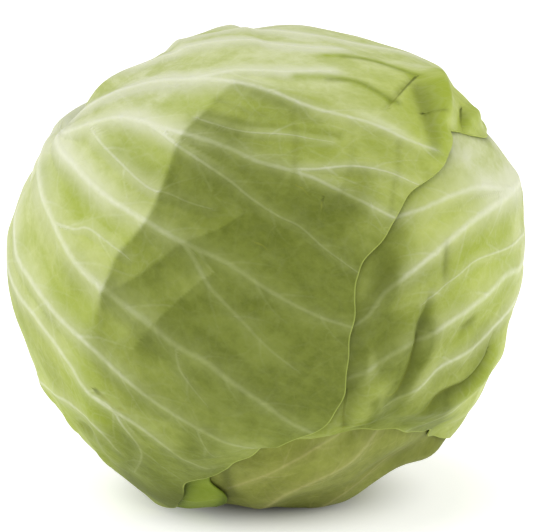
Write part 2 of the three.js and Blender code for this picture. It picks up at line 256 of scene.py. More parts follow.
def ripple(points, wavelength, seed, terms=9):
    """A soft uneven field between about -1 and 1: the mean of sine waves of random direction and
    phase, all of about one wavelength."""
    rng = np.random.default_rng(seed)
    stretch = rng.uniform(0.7, 1.35, (terms, 1))
    waves = unit(rng.normal(size=(terms, points.shape[-1]))) * 2 * np.pi / wavelength * stretch
    phases = rng.uniform(0, 2 * np.pi, terms)
    return np.sin(points @ waves.T + phases).mean(-1) * np.sqrt(terms) * 0.6


def curve_through(path, step):
    """Points about one step apart on a smooth curve through the path's points: on each stretch a
    cubic whose slopes are half the way between the neighbours on both sides."""
    path = np.array(path, float)
    before = 2 * path[:1] - path[1:2]
    after = 2 * path[-1:] - path[-2:-1]
    knots = np.vstack([before, path, after])
    stretches = []
    for p0, p1, p2, p3 in zip(knots, knots[1:], knots[2:], knots[3:]):
        count = max(2, int(np.ceil(np.linalg.norm(p2 - p1) / step)))
        t = np.linspace(0, 1, count, endpoint=False)[:, None]
        stretches.append(hermite(t, p1, p2, (p2 - p0) / 2, (p3 - p1) / 2))
    return np.vstack([*stretches, path[-1:]])


class Leaf:
    """A wrapper leaf on its chart: its outline, and what its margin and its blade do."""

    def __init__(self, name, turn, ease, outline, flares=(), creases=()):
        self.name = name
        self.ease = ease
        self.flares = flares
        self.creases = creases
        self.middle = from_stem(np.array(CHART_POLAR), np.array(turn))
        self.tipward = from_stem(np.array(CHART_POLAR + 90), np.array(turn))
        self.side = RIGHTWARD * np.cos(np.radians(turn)) - UPWARD * np.sin(np.radians(turn))
        points = np.array(outline, float)
        angles = np.arctan2(points[:, 1], points[:, 0])
        order = np.argsort(angles)
        reaches = np.hypot(points[:, 0], points[:, 1])[order]
        self.knots = np.concatenate([angles[order] + turns for turns in (-2 * np.pi, 0, 2 * np.pi)])
        self.reaches = np.tile(reaches, 3)
        self.tip_x = float(self.reach(np.array(0.0)))

    def on_head(self, x, y):
        """The direction of a chart point: as far from the chart's middle as it is from 0,0."""
        length = np.maximum(np.hypot(x, y), TINY)
        angle = length / BALL_RADIUS
        return unit(
            self.middle * np.cos(angle)[..., None]
            + self.tipward * (np.sin(angle) * x / length)[..., None]
            + self.side * (np.sin(angle) * y / length)[..., None]
        )

    def on_chart(self, directions):
        """The chart point of each direction, the other way round."""
        length = BALL_RADIUS * angle_between(directions, self.middle)
        along = directions @ self.tipward
        across = directions @ self.side
        scale = length / np.maximum(np.hypot(along, across), TINY)
        return along * scale, across * scale

    def reach(self, angle):
        """How far the leaf reaches at a chart angle: a smooth curve through the outline."""
        at = np.clip(np.searchsorted(self.knots, angle) - 1, 1, len(self.knots) - 3)
        a0, a1, a2, a3 = (self.knots[at + k] for k in (-1, 0, 1, 2))
        r0, r1, r2, r3 = (self.reaches[at + k] for k in (-1, 0, 1, 2))
        span = a2 - a1
        leave = (r2 - r0) / (a2 - a0) * span
        arrive = (r3 - r1) / (a3 - a1) * span
        return hermite((angle - a1) / span, r1, r2, leave, arrive)

    def beyond(self, directions):
        """How far past the margin each direction falls, below 0 inside the leaf."""
        x, y = self.on_chart(directions)
        return np.hypot(x, y) - self.reach(np.arctan2(y, x))

    def cover(self, directions, fade):
        """1 where the leaf lies, falling to 0 over a fade beyond its margin."""
        return 1 - smooth(0, fade, self.beyond(directions))

    def rib(self, x, y, spread):
        """How far the midrib stands out: the share left to the tip to the fourth power high."""
        left = 1 - np.clip((x - LEAF_BASE_X) / (self.tip_x - LEAF_BASE_X), 0, 1)
        half_width = RIB_HALF_WIDTH * left**3 + RIB_TIP_HALF_WIDTH + spread
        height = RIB_HEIGHT * left**4 + RIB_TIP_HEIGHT * left
        return height * (1 - smooth(RIB_CROWN * half_width + spread / 2, half_width, np.abs(y)))

    def lift(self, x, y):
        """How far the blade lifts off its bed: flares grow with a high power of the way out to
        the margin, creases are bells across a line."""
        angle = np.arctan2(y, x)
        out = np.minimum(np.hypot(x, y) / self.reach(angle), 1)
        lift = np.zeros_like(x)
        for at, spread, rise in self.flares:
            apart = (np.degrees(angle) - at + 180) % 360 - 180
            wave = 1 - RUFFLE_DEPTH * (1 - np.sin(RUFFLES * angle))
            lift += rise * wave * out**FLARE_STEEPNESS * bell(apart, spread)
        for start, end, rise, width in self.creases:
            away, _ = line_fields(x, y, [start, end])
            lift += rise * bell(away, width)
        return lift


def line_fields(x, y, path):
    """Signed distance from a line of straight pieces, above 0 left of its run, and the share of
    its points that the nearest place on it is past."""
    path = np.array(path, float)
    best = np.full(x.shape, np.inf)
    signed = np.zeros(x.shape)
    share = np.zeros(x.shape)
    for index, ((ax, ay), (bx, by)) in enumerate(zip(path, path[1:])):
        run_x, run_y = bx - ax, by - ay
        along = np.clip(((x - ax) * run_x + (y - ay) * run_y) / (run_x**2 + run_y**2), 0, 1)
        gap_x, gap_y = x - ax - along * run_x, y - ay - along * run_y
        away = np.hypot(gap_x, gap_y)
        side = np.where(run_x * gap_y - run_y * gap_x < 0, -1, 1)
        nearer = away < best
        best = np.where(nearer, away, best)
        signed = np.where(nearer, away * side, signed)
        share = np.where(nearer, (index + along) / (len(path) - 1), share)
    return signed, share


def curve_fields(x, y, path, step):
    """The same for the smooth curve through a path."""
    return line_fields(x, y, curve_through(path, step))


def taper(share, cut, power):
    """An arch over the share of a path, near 0 at its ends and 1 in the middle: a power of the
    sine, whose share stays a cut away from both ends."""
    return np.sin(np.pi * np.clip(share, cut, 1 - cut)) ** power


def both_sides(points):
    """A whole outline from the points of one half: these and their mirror images."""
    return points + [(x, -y) for x, y in points if y > 0]


# The leaves from the inside out: name, turn round the stalk, ease over what lies below, outline,
# flares (chart angle, spread and rise) and creases (start, end, rise and width)
LEAVES = [
    Leaf("leaf_6", 122, 0.5, both_sides([
        (118, 0), (110, 45), (84, 84), (40, 108), (-10, 112), (-60, 94), (-97, 64), (-119, 30), (-125, 0),
    ])),
    Leaf("leaf_5", -15, 0.5, both_sides([
        (122, 0), (112, 48), (86, 88), (40, 112), (-10, 114), (-60, 96), (-97, 64), (-119, 30), (-125, 0),
    ])),
    Leaf("leaf_4", 196, 0.3, [
        (132, 0), (124, 40), (104, 72), (70, 96), (20, 108), (-40, 100), (-92, 70), (-119, 32),
        (-125, 0), (-119, -32), (-92, -74), (-40, -110), (20, -126), (70, -122), (104, -92), (126, -48),
    ], creases=[
        ((76, 6), (114, -8), 2.0, 14),
        ((84, -52), (80, -82), 3.0, 12),
    ]),
    Leaf("leaf_3", 240, 0.1, [
        (84, 6), (84, 36), (52, 70), (0, 84), (-50, 78), (-94, 56), (-119, 28), (-125, 0), (-119, -26),
        (-96, -40), (-50, -44), (-8, -43), (22, -40), (44, -38), (59, -40), (75, -29), (77, -19), (78, -8),
    ], flares=[(-28, 20, 1.0)]),
    Leaf("leaf_2", 66, 0.5, [
        (150, -12), (142, -8), (136, -5), (127, -3), (120, 1), (115, 7), (109, 14), (100, 26), (88, 41),
        (84, 49), (75, 58), (62, 67), (30, 90), (-10, 105),
        (-60, 100), (-96, 72), (-119, 36), (-125, 0), (-119, -36), (-92, -80), (-50, -120), (0, -150),
        (60, -135), (110, -110), (135, -80), (152, -40),
    ], flares=[(40, 22, 0.8)], creases=[
        ((56, 22), (98, 6), 2.6, 9),
        ((70, 40), (104, 20), 2.2, 8),
        ((100, -26), (122, -4), 2.2, 7),
    ]),
    Leaf("leaf_1", -67, 0.8, [
        (118, 1), (121, 12), (119, 24), (111, 38), (105, 50), (96, 61), (90, 68), (84, 82), (78, 95),
        (69, 109), (63, 121), (56, 132), (49, 138), (42, 142), (36, 145), (34, 151), (33, 158),
        (27, 168), (17, 175), (4, 180), (-36, 170), (-66, 138), (-95, 90), (-118, 42), (-125, 0),
        (-118, -40), (-90, -76), (-45, -99), (0, -104), (40, -102), (58, -98), (70, -94), (80, -76),
        (84, -63), (88, -55), (96, -48), (104, -30), (110, -15),
    ], flares=[(-58, 34, 1.0), (100, 24, 2.0)], creases=[
        ((-40, 152), (30, 146), 2.0, 13),
    ]),
]
ORDER = {leaf.name: order for order, leaf in enumerate(LEAVES)}


def bed_under(order, directions):
    """Distance from the centre to a leaf's bed: the heart, the clearance and the leaf's own ease,
    plus ease, blade, clearance and midrib of every leaf below as far as that leaf covers."""
    radius = heart_skin(directions) + CLEARANCE + HEART_STEP + LEAVES[order].ease
    for leaf in LEAVES[:order]:
        x, y = leaf.on_chart(directions)
        stack = leaf.ease + BLADE + CLEARANCE + leaf.rib(x, y, RIB_HULL)
        radius = radius + leaf.cover(directions, DRAPE) * stack
    return radius


def bareness(order, directions, fade=BARE_FROM):
    """1 where nothing lies over the leaf, 0 under another leaf."""
    bare = np.ones(directions.shape[:-1])
    for leaf in LEAVES[order + 1:]:
        bare = bare * (1 - leaf.cover(directions, fade))
    return bare


def top_below(order, directions):
    """Top of what lies under a leaf: the highest of the heart and the leaves below, each of
    which slopes down past its margin."""
    top = heart_skin(directions) + HEART_STEP
    for below, leaf in enumerate(LEAVES[:order]):
        x, y = leaf.on_chart(directions)
        height = bed_under(below, directions) + BLADE + leaf.rib(x, y, 0)
        top = np.maximum(top, height - EDGE_SLOPE * np.maximum(leaf.beyond(directions), 0))
    return top


class Strands:
    """Veins of one rank on a leaf's chart, as short straight pieces with a width and a force."""

    STEP = 2.0
    TILE = 16.0
    NEAR = 9.0

    def __init__(self):
        self.rows = []
        self.curves = []

    def add(self, path, widths, forces):
        """A vein along a path, its half width and its force running from root to end."""
        points = curve_through(path, self.STEP)
        width = np.linspace(*widths, len(points))
        force = np.linspace(*forces, len(points))
        self.curves.append((points, width, force))
        self.rows.append(np.column_stack([
            points[:-1], points[1:], width[:-1], width[1:], force[:-1], force[1:],
            np.full(len(points) - 1, len(self.curves)),
        ]))

    def fields(self, x, y):
        """Signed distance to the vein that is nearest in widths, its half width and its force.
        The chart is taken tile by tile with the pieces that pass near each tile. The last field
        tells where two veins are as near, so that the signs clash between grid points."""
        pieces = np.vstack([np.zeros((0, 9)), *self.rows])
        points = np.column_stack([x.ravel(), y.ravel()])
        signed = np.full(len(points), self.NEAR)
        width = np.ones(len(points))
        force = np.zeros(len(points))
        vein = np.zeros(len(points))
        low = np.minimum(pieces[:, 0:2], pieces[:, 2:4])
        high = np.maximum(pieces[:, 0:2], pieces[:, 2:4])
        tiles, member = np.unique(np.floor(points / self.TILE), axis=0, return_inverse=True)
        member = member.ravel()
        sorted_points = np.argsort(member, kind="stable")
        ends = np.cumsum(np.bincount(member))
        for tile, chosen in zip(tiles, np.split(sorted_points, ends[:-1])):
            corner = tile * self.TILE
            near = ((low < corner + self.TILE + self.NEAR) & (high > corner - self.NEAR)).all(1)
            if near.any():
                found = nearest_piece(points[chosen], pieces[near])
                signed[chosen], width[chosen], force[chosen], vein[chosen] = found
        signed, width, force, vein = (field.reshape(x.shape) for field in (signed, width, force, vein))
        seam = np.zeros(x.shape, bool)
        for axis in (0, 1):
            changes = vein != np.roll(vein, 1, axis)
            seam |= changes | np.roll(changes, -1, axis)
        return signed, width, force, seam & (np.abs(signed) > 0.9 * width)


def nearest_piece(points, pieces):
    """Signed distance, width, force and vein number at the piece that has the least distance
    over width."""
    start, run = pieces[:, 0:2], pieces[:, 2:4] - pieces[:, 0:2]
    from_start = points[:, None] - start
    along = np.clip((from_start * run).sum(-1) / (run * run).sum(-1), 0, 1)
    gap = from_start - along[..., None] * run
    away = np.hypot(gap[..., 0], gap[..., 1])
    width = pieces[:, 4] + along * (pieces[:, 5] - pieces[:, 4])
    force = pieces[:, 6] + along * (pieces[:, 7] - pieces[:, 6])
    best = np.argmin(away / width, axis=1)[:, None]
    side = np.where(run[:, 0] * gap[..., 1] - run[:, 1] * gap[..., 0] < 0, -1, 1)
    vein = np.broadcast_to(pieces[:, 8], away.shape)
    return [np.take_along_axis(field, best, 1)[:, 0] for field in (away * side, width, force, vein)]


def softened(values, passes):
    """Mean over each grid point and its neighbours, 1 2 1 along both sides, a few times."""
    for _ in range(passes):
        padded = np.pad(values, 1, "edge")
        rows = (padded[:-2] + 2 * padded[1:-1] + padded[2:]) / 4
        values = (rows[:, :-2] + 2 * rows[:, 1:-1] + rows[:, 2:]) / 4
    return values


def fan_veins(leaf):
    """Veins of a plain leaf: the midrib, and on both sides shallow curves from it to the margin."""
    veins = Strands()
    veins.add([(LEAF_BASE_X, 0), (0, 0), (leaf.tip_x * 0.97, 0)], (5.0, 0.8), (1.0, 0.7))
    for root, angle in VEIN_FAN:
        for side in (1, -1):
            root_x = LEAF_BASE_X + root * (leaf.tip_x - LEAF_BASE_X)
            turn = side * np.radians(angle + 4 * side * np.sin(9 * root + side))
            reach = 0.96 * leaf.reach(turn)
            end_x, end_y = reach * np.cos(turn), reach * np.sin(turn)
            bow = VEIN_BOW * root * (1 - root) + 0.06
            middle = ((root_x + end_x) / 2 - bow * abs(end_y), end_y / 2 + bow * side * (end_x - root_x))
            veins.add([(root_x, 0), middle, (end_x, end_y)], (1.9, 0.6), (1.0, 0.45))
    return veins


def drawn_strands(rows, widths, forces):
    """Strands along drawn paths. A row gives the half width and the force at the root, then the
    points. The widths and forces scale the two at the root and at the end."""
    strands = Strands()
    for width, force, *path in rows:
        strands.add(path, [width * share for share in widths], [force * share for share in forces])
    return strands


def leaf_veins(leaf):
    """The main veins of a leaf: drawn where the front shows them, else a plain fan."""
    if leaf.name in VEINS:
        return drawn_strands(VEINS[leaf.name], (1.1, 0.55), (1.0, 0.55))
    return fan_veins(leaf)


def twigs_of(veins, seed):
    """The next ranks of veins: branches leave each vein to both sides by turns and bend back
    towards its run, and shorter ones leave them again."""
    rng = np.random.default_rng(seed)
    twigs = Strands()

    def branch(points, spacing, first, length, spread, width, force):
        run = np.diff(points, axis=0)
        gone = np.concatenate([[0], np.cumsum(np.linalg.norm(run, axis=1))])
        ends = []
        side = rng.choice([-1, 1])
        at = first + rng.uniform(0, spacing)
        while at < gone[-1] - 4:
            index = np.searchsorted(gone, at) - 1
            heading = np.arctan2(run[index, 1], run[index, 0])
            turn = side * np.radians(rng.uniform(*spread))
            reach = length * rng.uniform(0.55, 1.2) * (1.15 - 0.6 * at / gone[-1])
            steps = np.linspace(0, 1, 5)[:, None]
            bend = turn * (1 - 0.5 * steps) + np.radians(rng.normal(0, 4, (5, 1)))
            stride = reach / 5 * np.hstack([np.cos(heading + bend), np.sin(heading + bend)])
            path = np.vstack([points[index], points[index] + np.cumsum(stride, axis=0)])
            twigs.add(path, (width, 0.5 * width), (force * rng.uniform(0.6, 1.0), 0.12))
            ends.append(path)
            side = -side
            at += spacing * rng.uniform(0.6, 1.4)
        return ends

    for points, _, _ in veins.curves:
        for path in branch(points, 14, 8, 26, (30, 52), 0.6, 0.8):
            branch(path, 9, 4, 11, (40, 70), 0.4, 0.35)
    return twigs


# Veins of the leaves that the front shows, half width and force at the root, then points
VEINS = {
    "leaf_1": [
        (2.6, 1.0, (-124, 0), (-60, 0), (6, -1), (26, 0), (52, 5), (65, 6), (75, 8), (85, 7), (100, 5),
         (118, 1)),
        (1.9, 1.0, (-74, 1), (-40, 7), (-9, 16), (10, 21), (27, 27), (44, 33), (59, 39), (75, 42), (91, 46),
         (104, 51)),
        (0.8, 0.7, (-22, 26), (-10, 28), (3, 31), (20, 35), (26, 39), (34, 43), (40, 47)),
        (0.6, 0.7, (6, 61), (20, 71), (29, 84), (37, 95)),
        (1.9, 1.0, (-92, 1), (-62, 5), (-38, 11), (-22, 26), (-12, 39), (2, 49), (14, 58), (24, 64),
         (34, 69), (42, 76), (50, 82), (60, 87), (67, 91), (77, 98)),
        (0.9, 0.8, (42, 76), (46, 84), (50, 95), (56, 104), (61, 110), (67, 117)),
        (0.9, 0.9, (-6, 44), (4, 48), (14, 51), (26, 55), (36, 58), (46, 60), (56, 63), (63, 66), (74, 67),
         (83, 69), (93, 71)),
        (2.2, 1.0, (-48, 8), (-42, 20), (-37, 36), (-28, 51), (-15, 66), (-4, 78), (6, 86), (19, 96),
         (29, 107), (36, 114), (45, 121), (50, 129)),
        (1.6, 0.8, (-15, 66), (-12, 78), (-6, 89), (-3, 100), (-1, 110)),
        (1.9, 0.9, (-104, 1), (-74, 25), (-56, 52), (-43, 72), (-31, 93), (-24, 108), (-22, 118)),
        (2.0, 0.8, (-110, 2), (-86, 36), (-62, 70), (-49, 96), (-39, 114), (-36, 150)),
        (1.8, 0.8, (-116, 4), (-102, 44), (-86, 78), (-68, 118)),
        (2.0, 1.0, (-84, -1), (-40, -17), (-14, -24), (7, -22), (25, -20), (41, -18), (63, -18), (85, -17),
         (105, -19)),
        (2.0, 1.0, (-100, -2), (-50, -28), (-14, -34), (0, -33), (16, -30), (31, -30), (47, -35), (63, -34),
         (78, -36), (92, -41)),
        (1.6, 0.9, (-108, -3), (-60, -44), (-20, -64), (10, -66), (34, -51), (43, -48), (51, -48),
         (58, -56)),
        (1.0, 0.8, (47, -35), (55, -34), (60, -38), (67, -45), (68, -53), (64, -66)),
        (0.8, 0.6, (65, 6), (70, 0), (76, -3), (83, -6)),
        (0.7, 0.6, (84, -17), (88, -23), (93, -29)),
        (1.2, 0.6, (44, 33), (50, 32), (60, 29), (69, 28), (77, 27), (88, 25), (99, 24)),
        (0.8, 0.7, (0, -1), (10, 5), (15, 10), (29, 14), (34, 15)),
        (1.8, 0.8, (-113, -4), (-84, -44), (-40, -74), (6, -82), (44, -84), (58, -88)),
        (1.7, 0.8, (-118, -6), (-98, -48), (-66, -78), (-20, -96)),
    ],
    "leaf_2": [
        (2.6, 1.0, (-124, 0), (-80, 4), (-30, 12), (0, 11), (31, 4), (45, -6), (58, -11), (70, -16),
         (79, -20), (89, -24), (101, -29), (118, -30)),
        (2.2, 1.0, (-60, 9), (-20, 2), (0, -5), (14, -14), (22, -23), (30, -35), (38, -43), (46, -50),
         (52, -55), (66, -70)),
        (2.0, 1.0, (14, -14), (27, -23), (44, -34), (61, -41), (72, -45), (84, -48), (92, -47), (98, -47),
         (116, -52)),
        (1.9, 1.0, (-40, 14), (0, 19), (30, 15), (49, 8), (60, 4), (71, 1), (79, -2), (89, -7), (102, -8),
         (110, -10)),
        (0.8, 0.7, (16, 4), (36, -10), (53, -24), (62, -28), (70, -31), (79, -33)),
        (1.5, 0.8, (-36, 18), (0, 34), (36, 32), (62, 24), (84, 22), (104, 20)),
        (1.7, 0.8, (-60, 10), (-24, 42), (12, 58), (44, 56), (72, 46)),
        (1.8, 0.8, (-82, 5), (-50, 46), (-18, 74), (18, 84), (32, 84)),
        (1.8, 0.8, (-98, 3), (-78, 44), (-46, 82), (-16, 98)),
        (1.8, 0.8, (-110, 2), (-98, 38), (-78, 74)),
        (2.0, 0.9, (-78, 3), (-40, -22), (-6, -52), (20, -84), (40, -122)),
        (1.9, 0.8, (-92, 1), (-62, -32), (-34, -74), (-14, -124)),
        (1.8, 0.8, (-104, 0), (-84, -36), (-64, -74), (-52, -110)),
        (1.7, 0.8, (-114, -2), (-102, -34), (-88, -70)),
    ],
    "leaf_4": [
        (2.8, 0.8, (-124, 0), (-40, 1), (30, 0), (62, -2), (92, 1), (108, -5), (118, -15), (128, -28)),
        (1.8, 0.7, (-30, 0), (30, 20), (70, 22), (102, 16), (119, 8), (128, -4)),
        (1.8, 0.7, (-10, 0), (40, -22), (76, -28), (96, -40), (102, -54)),
        (1.6, 0.8, (-60, 0), (-10, 34), (40, 56), (84, 60)),
        (1.6, 0.8, (-60, 0), (-10, -38), (34, -70), (60, -104)),
        (1.6, 0.8, (-90, 0), (-50, 40), (-4, 78), (16, 98)),
        (1.6, 0.8, (-90, 0), (-50, -44), (-14, -84), (6, -116)),
        (1.6, 0.8, (-108, 0), (-84, 40), (-58, 74)),
        (1.6, 0.8, (-108, 0), (-84, -42), (-60, -82)),
    ],
}

# Thin dark lines, half width and force, then points: painted shade in pleats and creases, and nicks
NICKS_AND_FOLD_SHADE = {
    "leaf_1": [
        (0.7, 1.0, (1, 141), (7, 137), (15, 131), (22, 125), (25, 122)),
        (0.5, 0.5, (49, 75), (51, 76), (54, 76)),
        (0.6, 0.8, (58, 79), (59, 78), (60, 77)),
        (0.5, 0.5, (59, 51), (61, 52), (63, 52)),
        (1.3, 0.8, (48, -32), (51, -32), (55, -32)),
        (1.1, 0.6, (58, -32), (62, -31)),
        (0.6, 0.5, (33, -68), (38, -66), (43, -63)),
        (0.8, 1.0, (16, 157), (20, 156), (26, 154), (31, 153)),
    ],
    "leaf_2": [
        (0.8, 0.9, (66, 11), (72, 12), (81, 11), (88, 7), (94, 4), (99, 5)),
        (0.8, 0.8, (88, -26), (92, -22), (97, -17), (105, -11), (108, -13)),
        (0.7, 0.9, (118, -26), (123, -16), (126, -7)),
    ],
}


# Where a margin lies close on what is under it: the reach, then points
SETTLED = {
    "leaf_1": (11, (34, 146), (33, 158), (24, 168), (10, 176)),
    "leaf_2": (7, (125, -4), (118, 2), (108, 14), (98, 26), (88, 42), (78, 56), (64, 66)),
}

# Pleats: how high the left side of the run stands, how deep the right side falls and how wide
# the turn between them is, then points
PLEATS = {
    "leaf_1": [
        (1.0, 0.9, 1.0, (1, 141), (7, 137), (15, 131), (22, 125), (26, 121)),
    ],
}

# Creases: depth and width of the groove and height of the swelling beside it, then points
CREASES = {
    "leaf_2": [
        (2.0, 1.3, 0.4, (73, -35), (79, -31), (85, -28), (92, -22), (97, -17), (105, -11), (110, -12)),
        (2.1, 1.5, 0.7, (61, 7), (66, 11), (72, 12), (81, 11), (88, 7), (94, 4), (102, 6)),
        (2.0, 1.8, 0.8, (112, -34), (118, -26), (123, -16), (126, -6)),
        (0.9, 1.6, 0.3, (66, -9), (70, -10), (75, -12)),
        (0.5, 1.6, 0.2, (56, -40), (63, -35), (69, -31)),
    ],
}

# Soft ridges and, where the rise is below 0, valleys: rise and width, then points
RIDGES = {
    "leaf_1": [
        (5.4, 4.4, (-14, 153), (0, 149), (16, 144), (33, 140), (44, 137), (56, 130)),
        (-1.2, 3.0, (3, 141), (15, 138), (31, 134), (47, 131)),
        (-2.6, 6.5, (-96, 8), (-74, 8), (-59, 8), (-44, 14)),
        (-2.6, 2.2, (14, 158), (20, 156), (26, 154), (32, 153)),
        (3.0, 4.5, (6, 170), (15, 165), (25, 158)),
        (0.7, 2.4, (24, -58), (36, -52), (47, -45)),
        (-1.6, 3.0, (35, -67), (40, -62), (46, -58)),
        (1.3, 4.0, (42, -34), (49, -46), (51, -58), (54, -70)),
        (1.2, 3.4, (8, -66), (14, -76)),
        (1.3, 3.4, (24, -70), (30, -78)),
        (1.3, 3.4, (42, -74), (48, -82)),
    ],
    "leaf_2": [
        (-1.8, 4.5, (72, -56), (82, -52), (90, -51)),
        (2.0, 4.0, (102, -40), (108, -31), (111, -24), (115, -16), (118, -8)),
        (1.8, 5.0, (84, -19), (94, -12), (100, -6), (104, 0)),
        (1.8, 4.0, (64, 18), (76, 19), (88, 15), (98, 12)),
    ],
    "leaf_4": [
        (-1.4, 6.0, (92, -34), (100, -41), (99, -52), (88, -70)),
    ],
}


def fold_relief(leaf, x, y):
    """Height of the folds and buckles, and how deep in a fold each point lies, which the finish
    darkens as painted shade. Across its path a pleat stands up on one side and falls off on the
    other, a crease is a narrow groove between two swellings, and a ridge is a bell. All die out
    at their ends."""
    height = np.zeros_like(x)
    hollow = np.zeros_like(x)
    for rise, drop, width, *path in PLEATS.get(leaf.name, []):
        away, share = curve_fields(x, y, path, FOLD_STEP)
        arch = taper(share, 0.02, 0.5)
        upper = smooth(-0.6 * width, 0.6 * width, away)
        height += arch * upper * rise * bell(away, 3 * width)
        low = arch * (1 - upper) * bell(away, 1.6 * width)
        height -= drop * low
        hollow += 0.6 * low
    for depth, width, swelling, *path in CREASES.get(leaf.name, []):
        away, share = curve_fields(x, y, path, FOLD_STEP)
        arch = taper(share, 0.02, 0.6)
        groove = arch * np.exp(-(np.abs(away) / width) ** 1.4)
        height += swelling * arch * bell(np.abs(away) - 2.6 * width, 1.8 * width)
        height -= depth * groove
        hollow += 0.9 * groove
    for rise, width, *path in RIDGES.get(leaf.name, []):
        away, share = curve_fields(x, y, path, FOLD_STEP)
        ridge = taper(share, 0.04, 0.4) * bell(away, width)
        height += rise * ridge
        hollow += 0.6 * ridge * (rise < 0)
    return height, np.clip(hollow, 0, 1)


# Edge of the olive shade on the large front leaf, on its chart
SHADE_EDGE = [
    (66, 128), (44, 119), (25, 108), (13, 98), (4, 87), (-4, 77), (0, 69), (4, 63), (6, 58), (9, 53),
    (17, 45), (24, 37), (29, 27), (30, 12), (33, 5), (37, -10), (41, -21), (51, -38), (57, -50), (62, -66),
]

# Steps of shade: amount and reach left of the run, the same on the right, then points
SHADE_STEPS = {
    "leaf_1": [
        (-0.14, 8, 0.16, 6, (36, 2), (39, 8), (42, 20), (44, 33)),
        (-0.24, 9, 0.2, 12, (45, 35), (48, 47), (48, 61)),
        (-0.32, 7, 0.34, 11, (55, 1), (56, 9), (57, 20), (58, 31), (59, 38)),
    ],
}

# The side of its run on which a vein has painted shade, left 1 and right -1
SHADED_SIDE = {"leaf_1": -1, "leaf_2": 1}

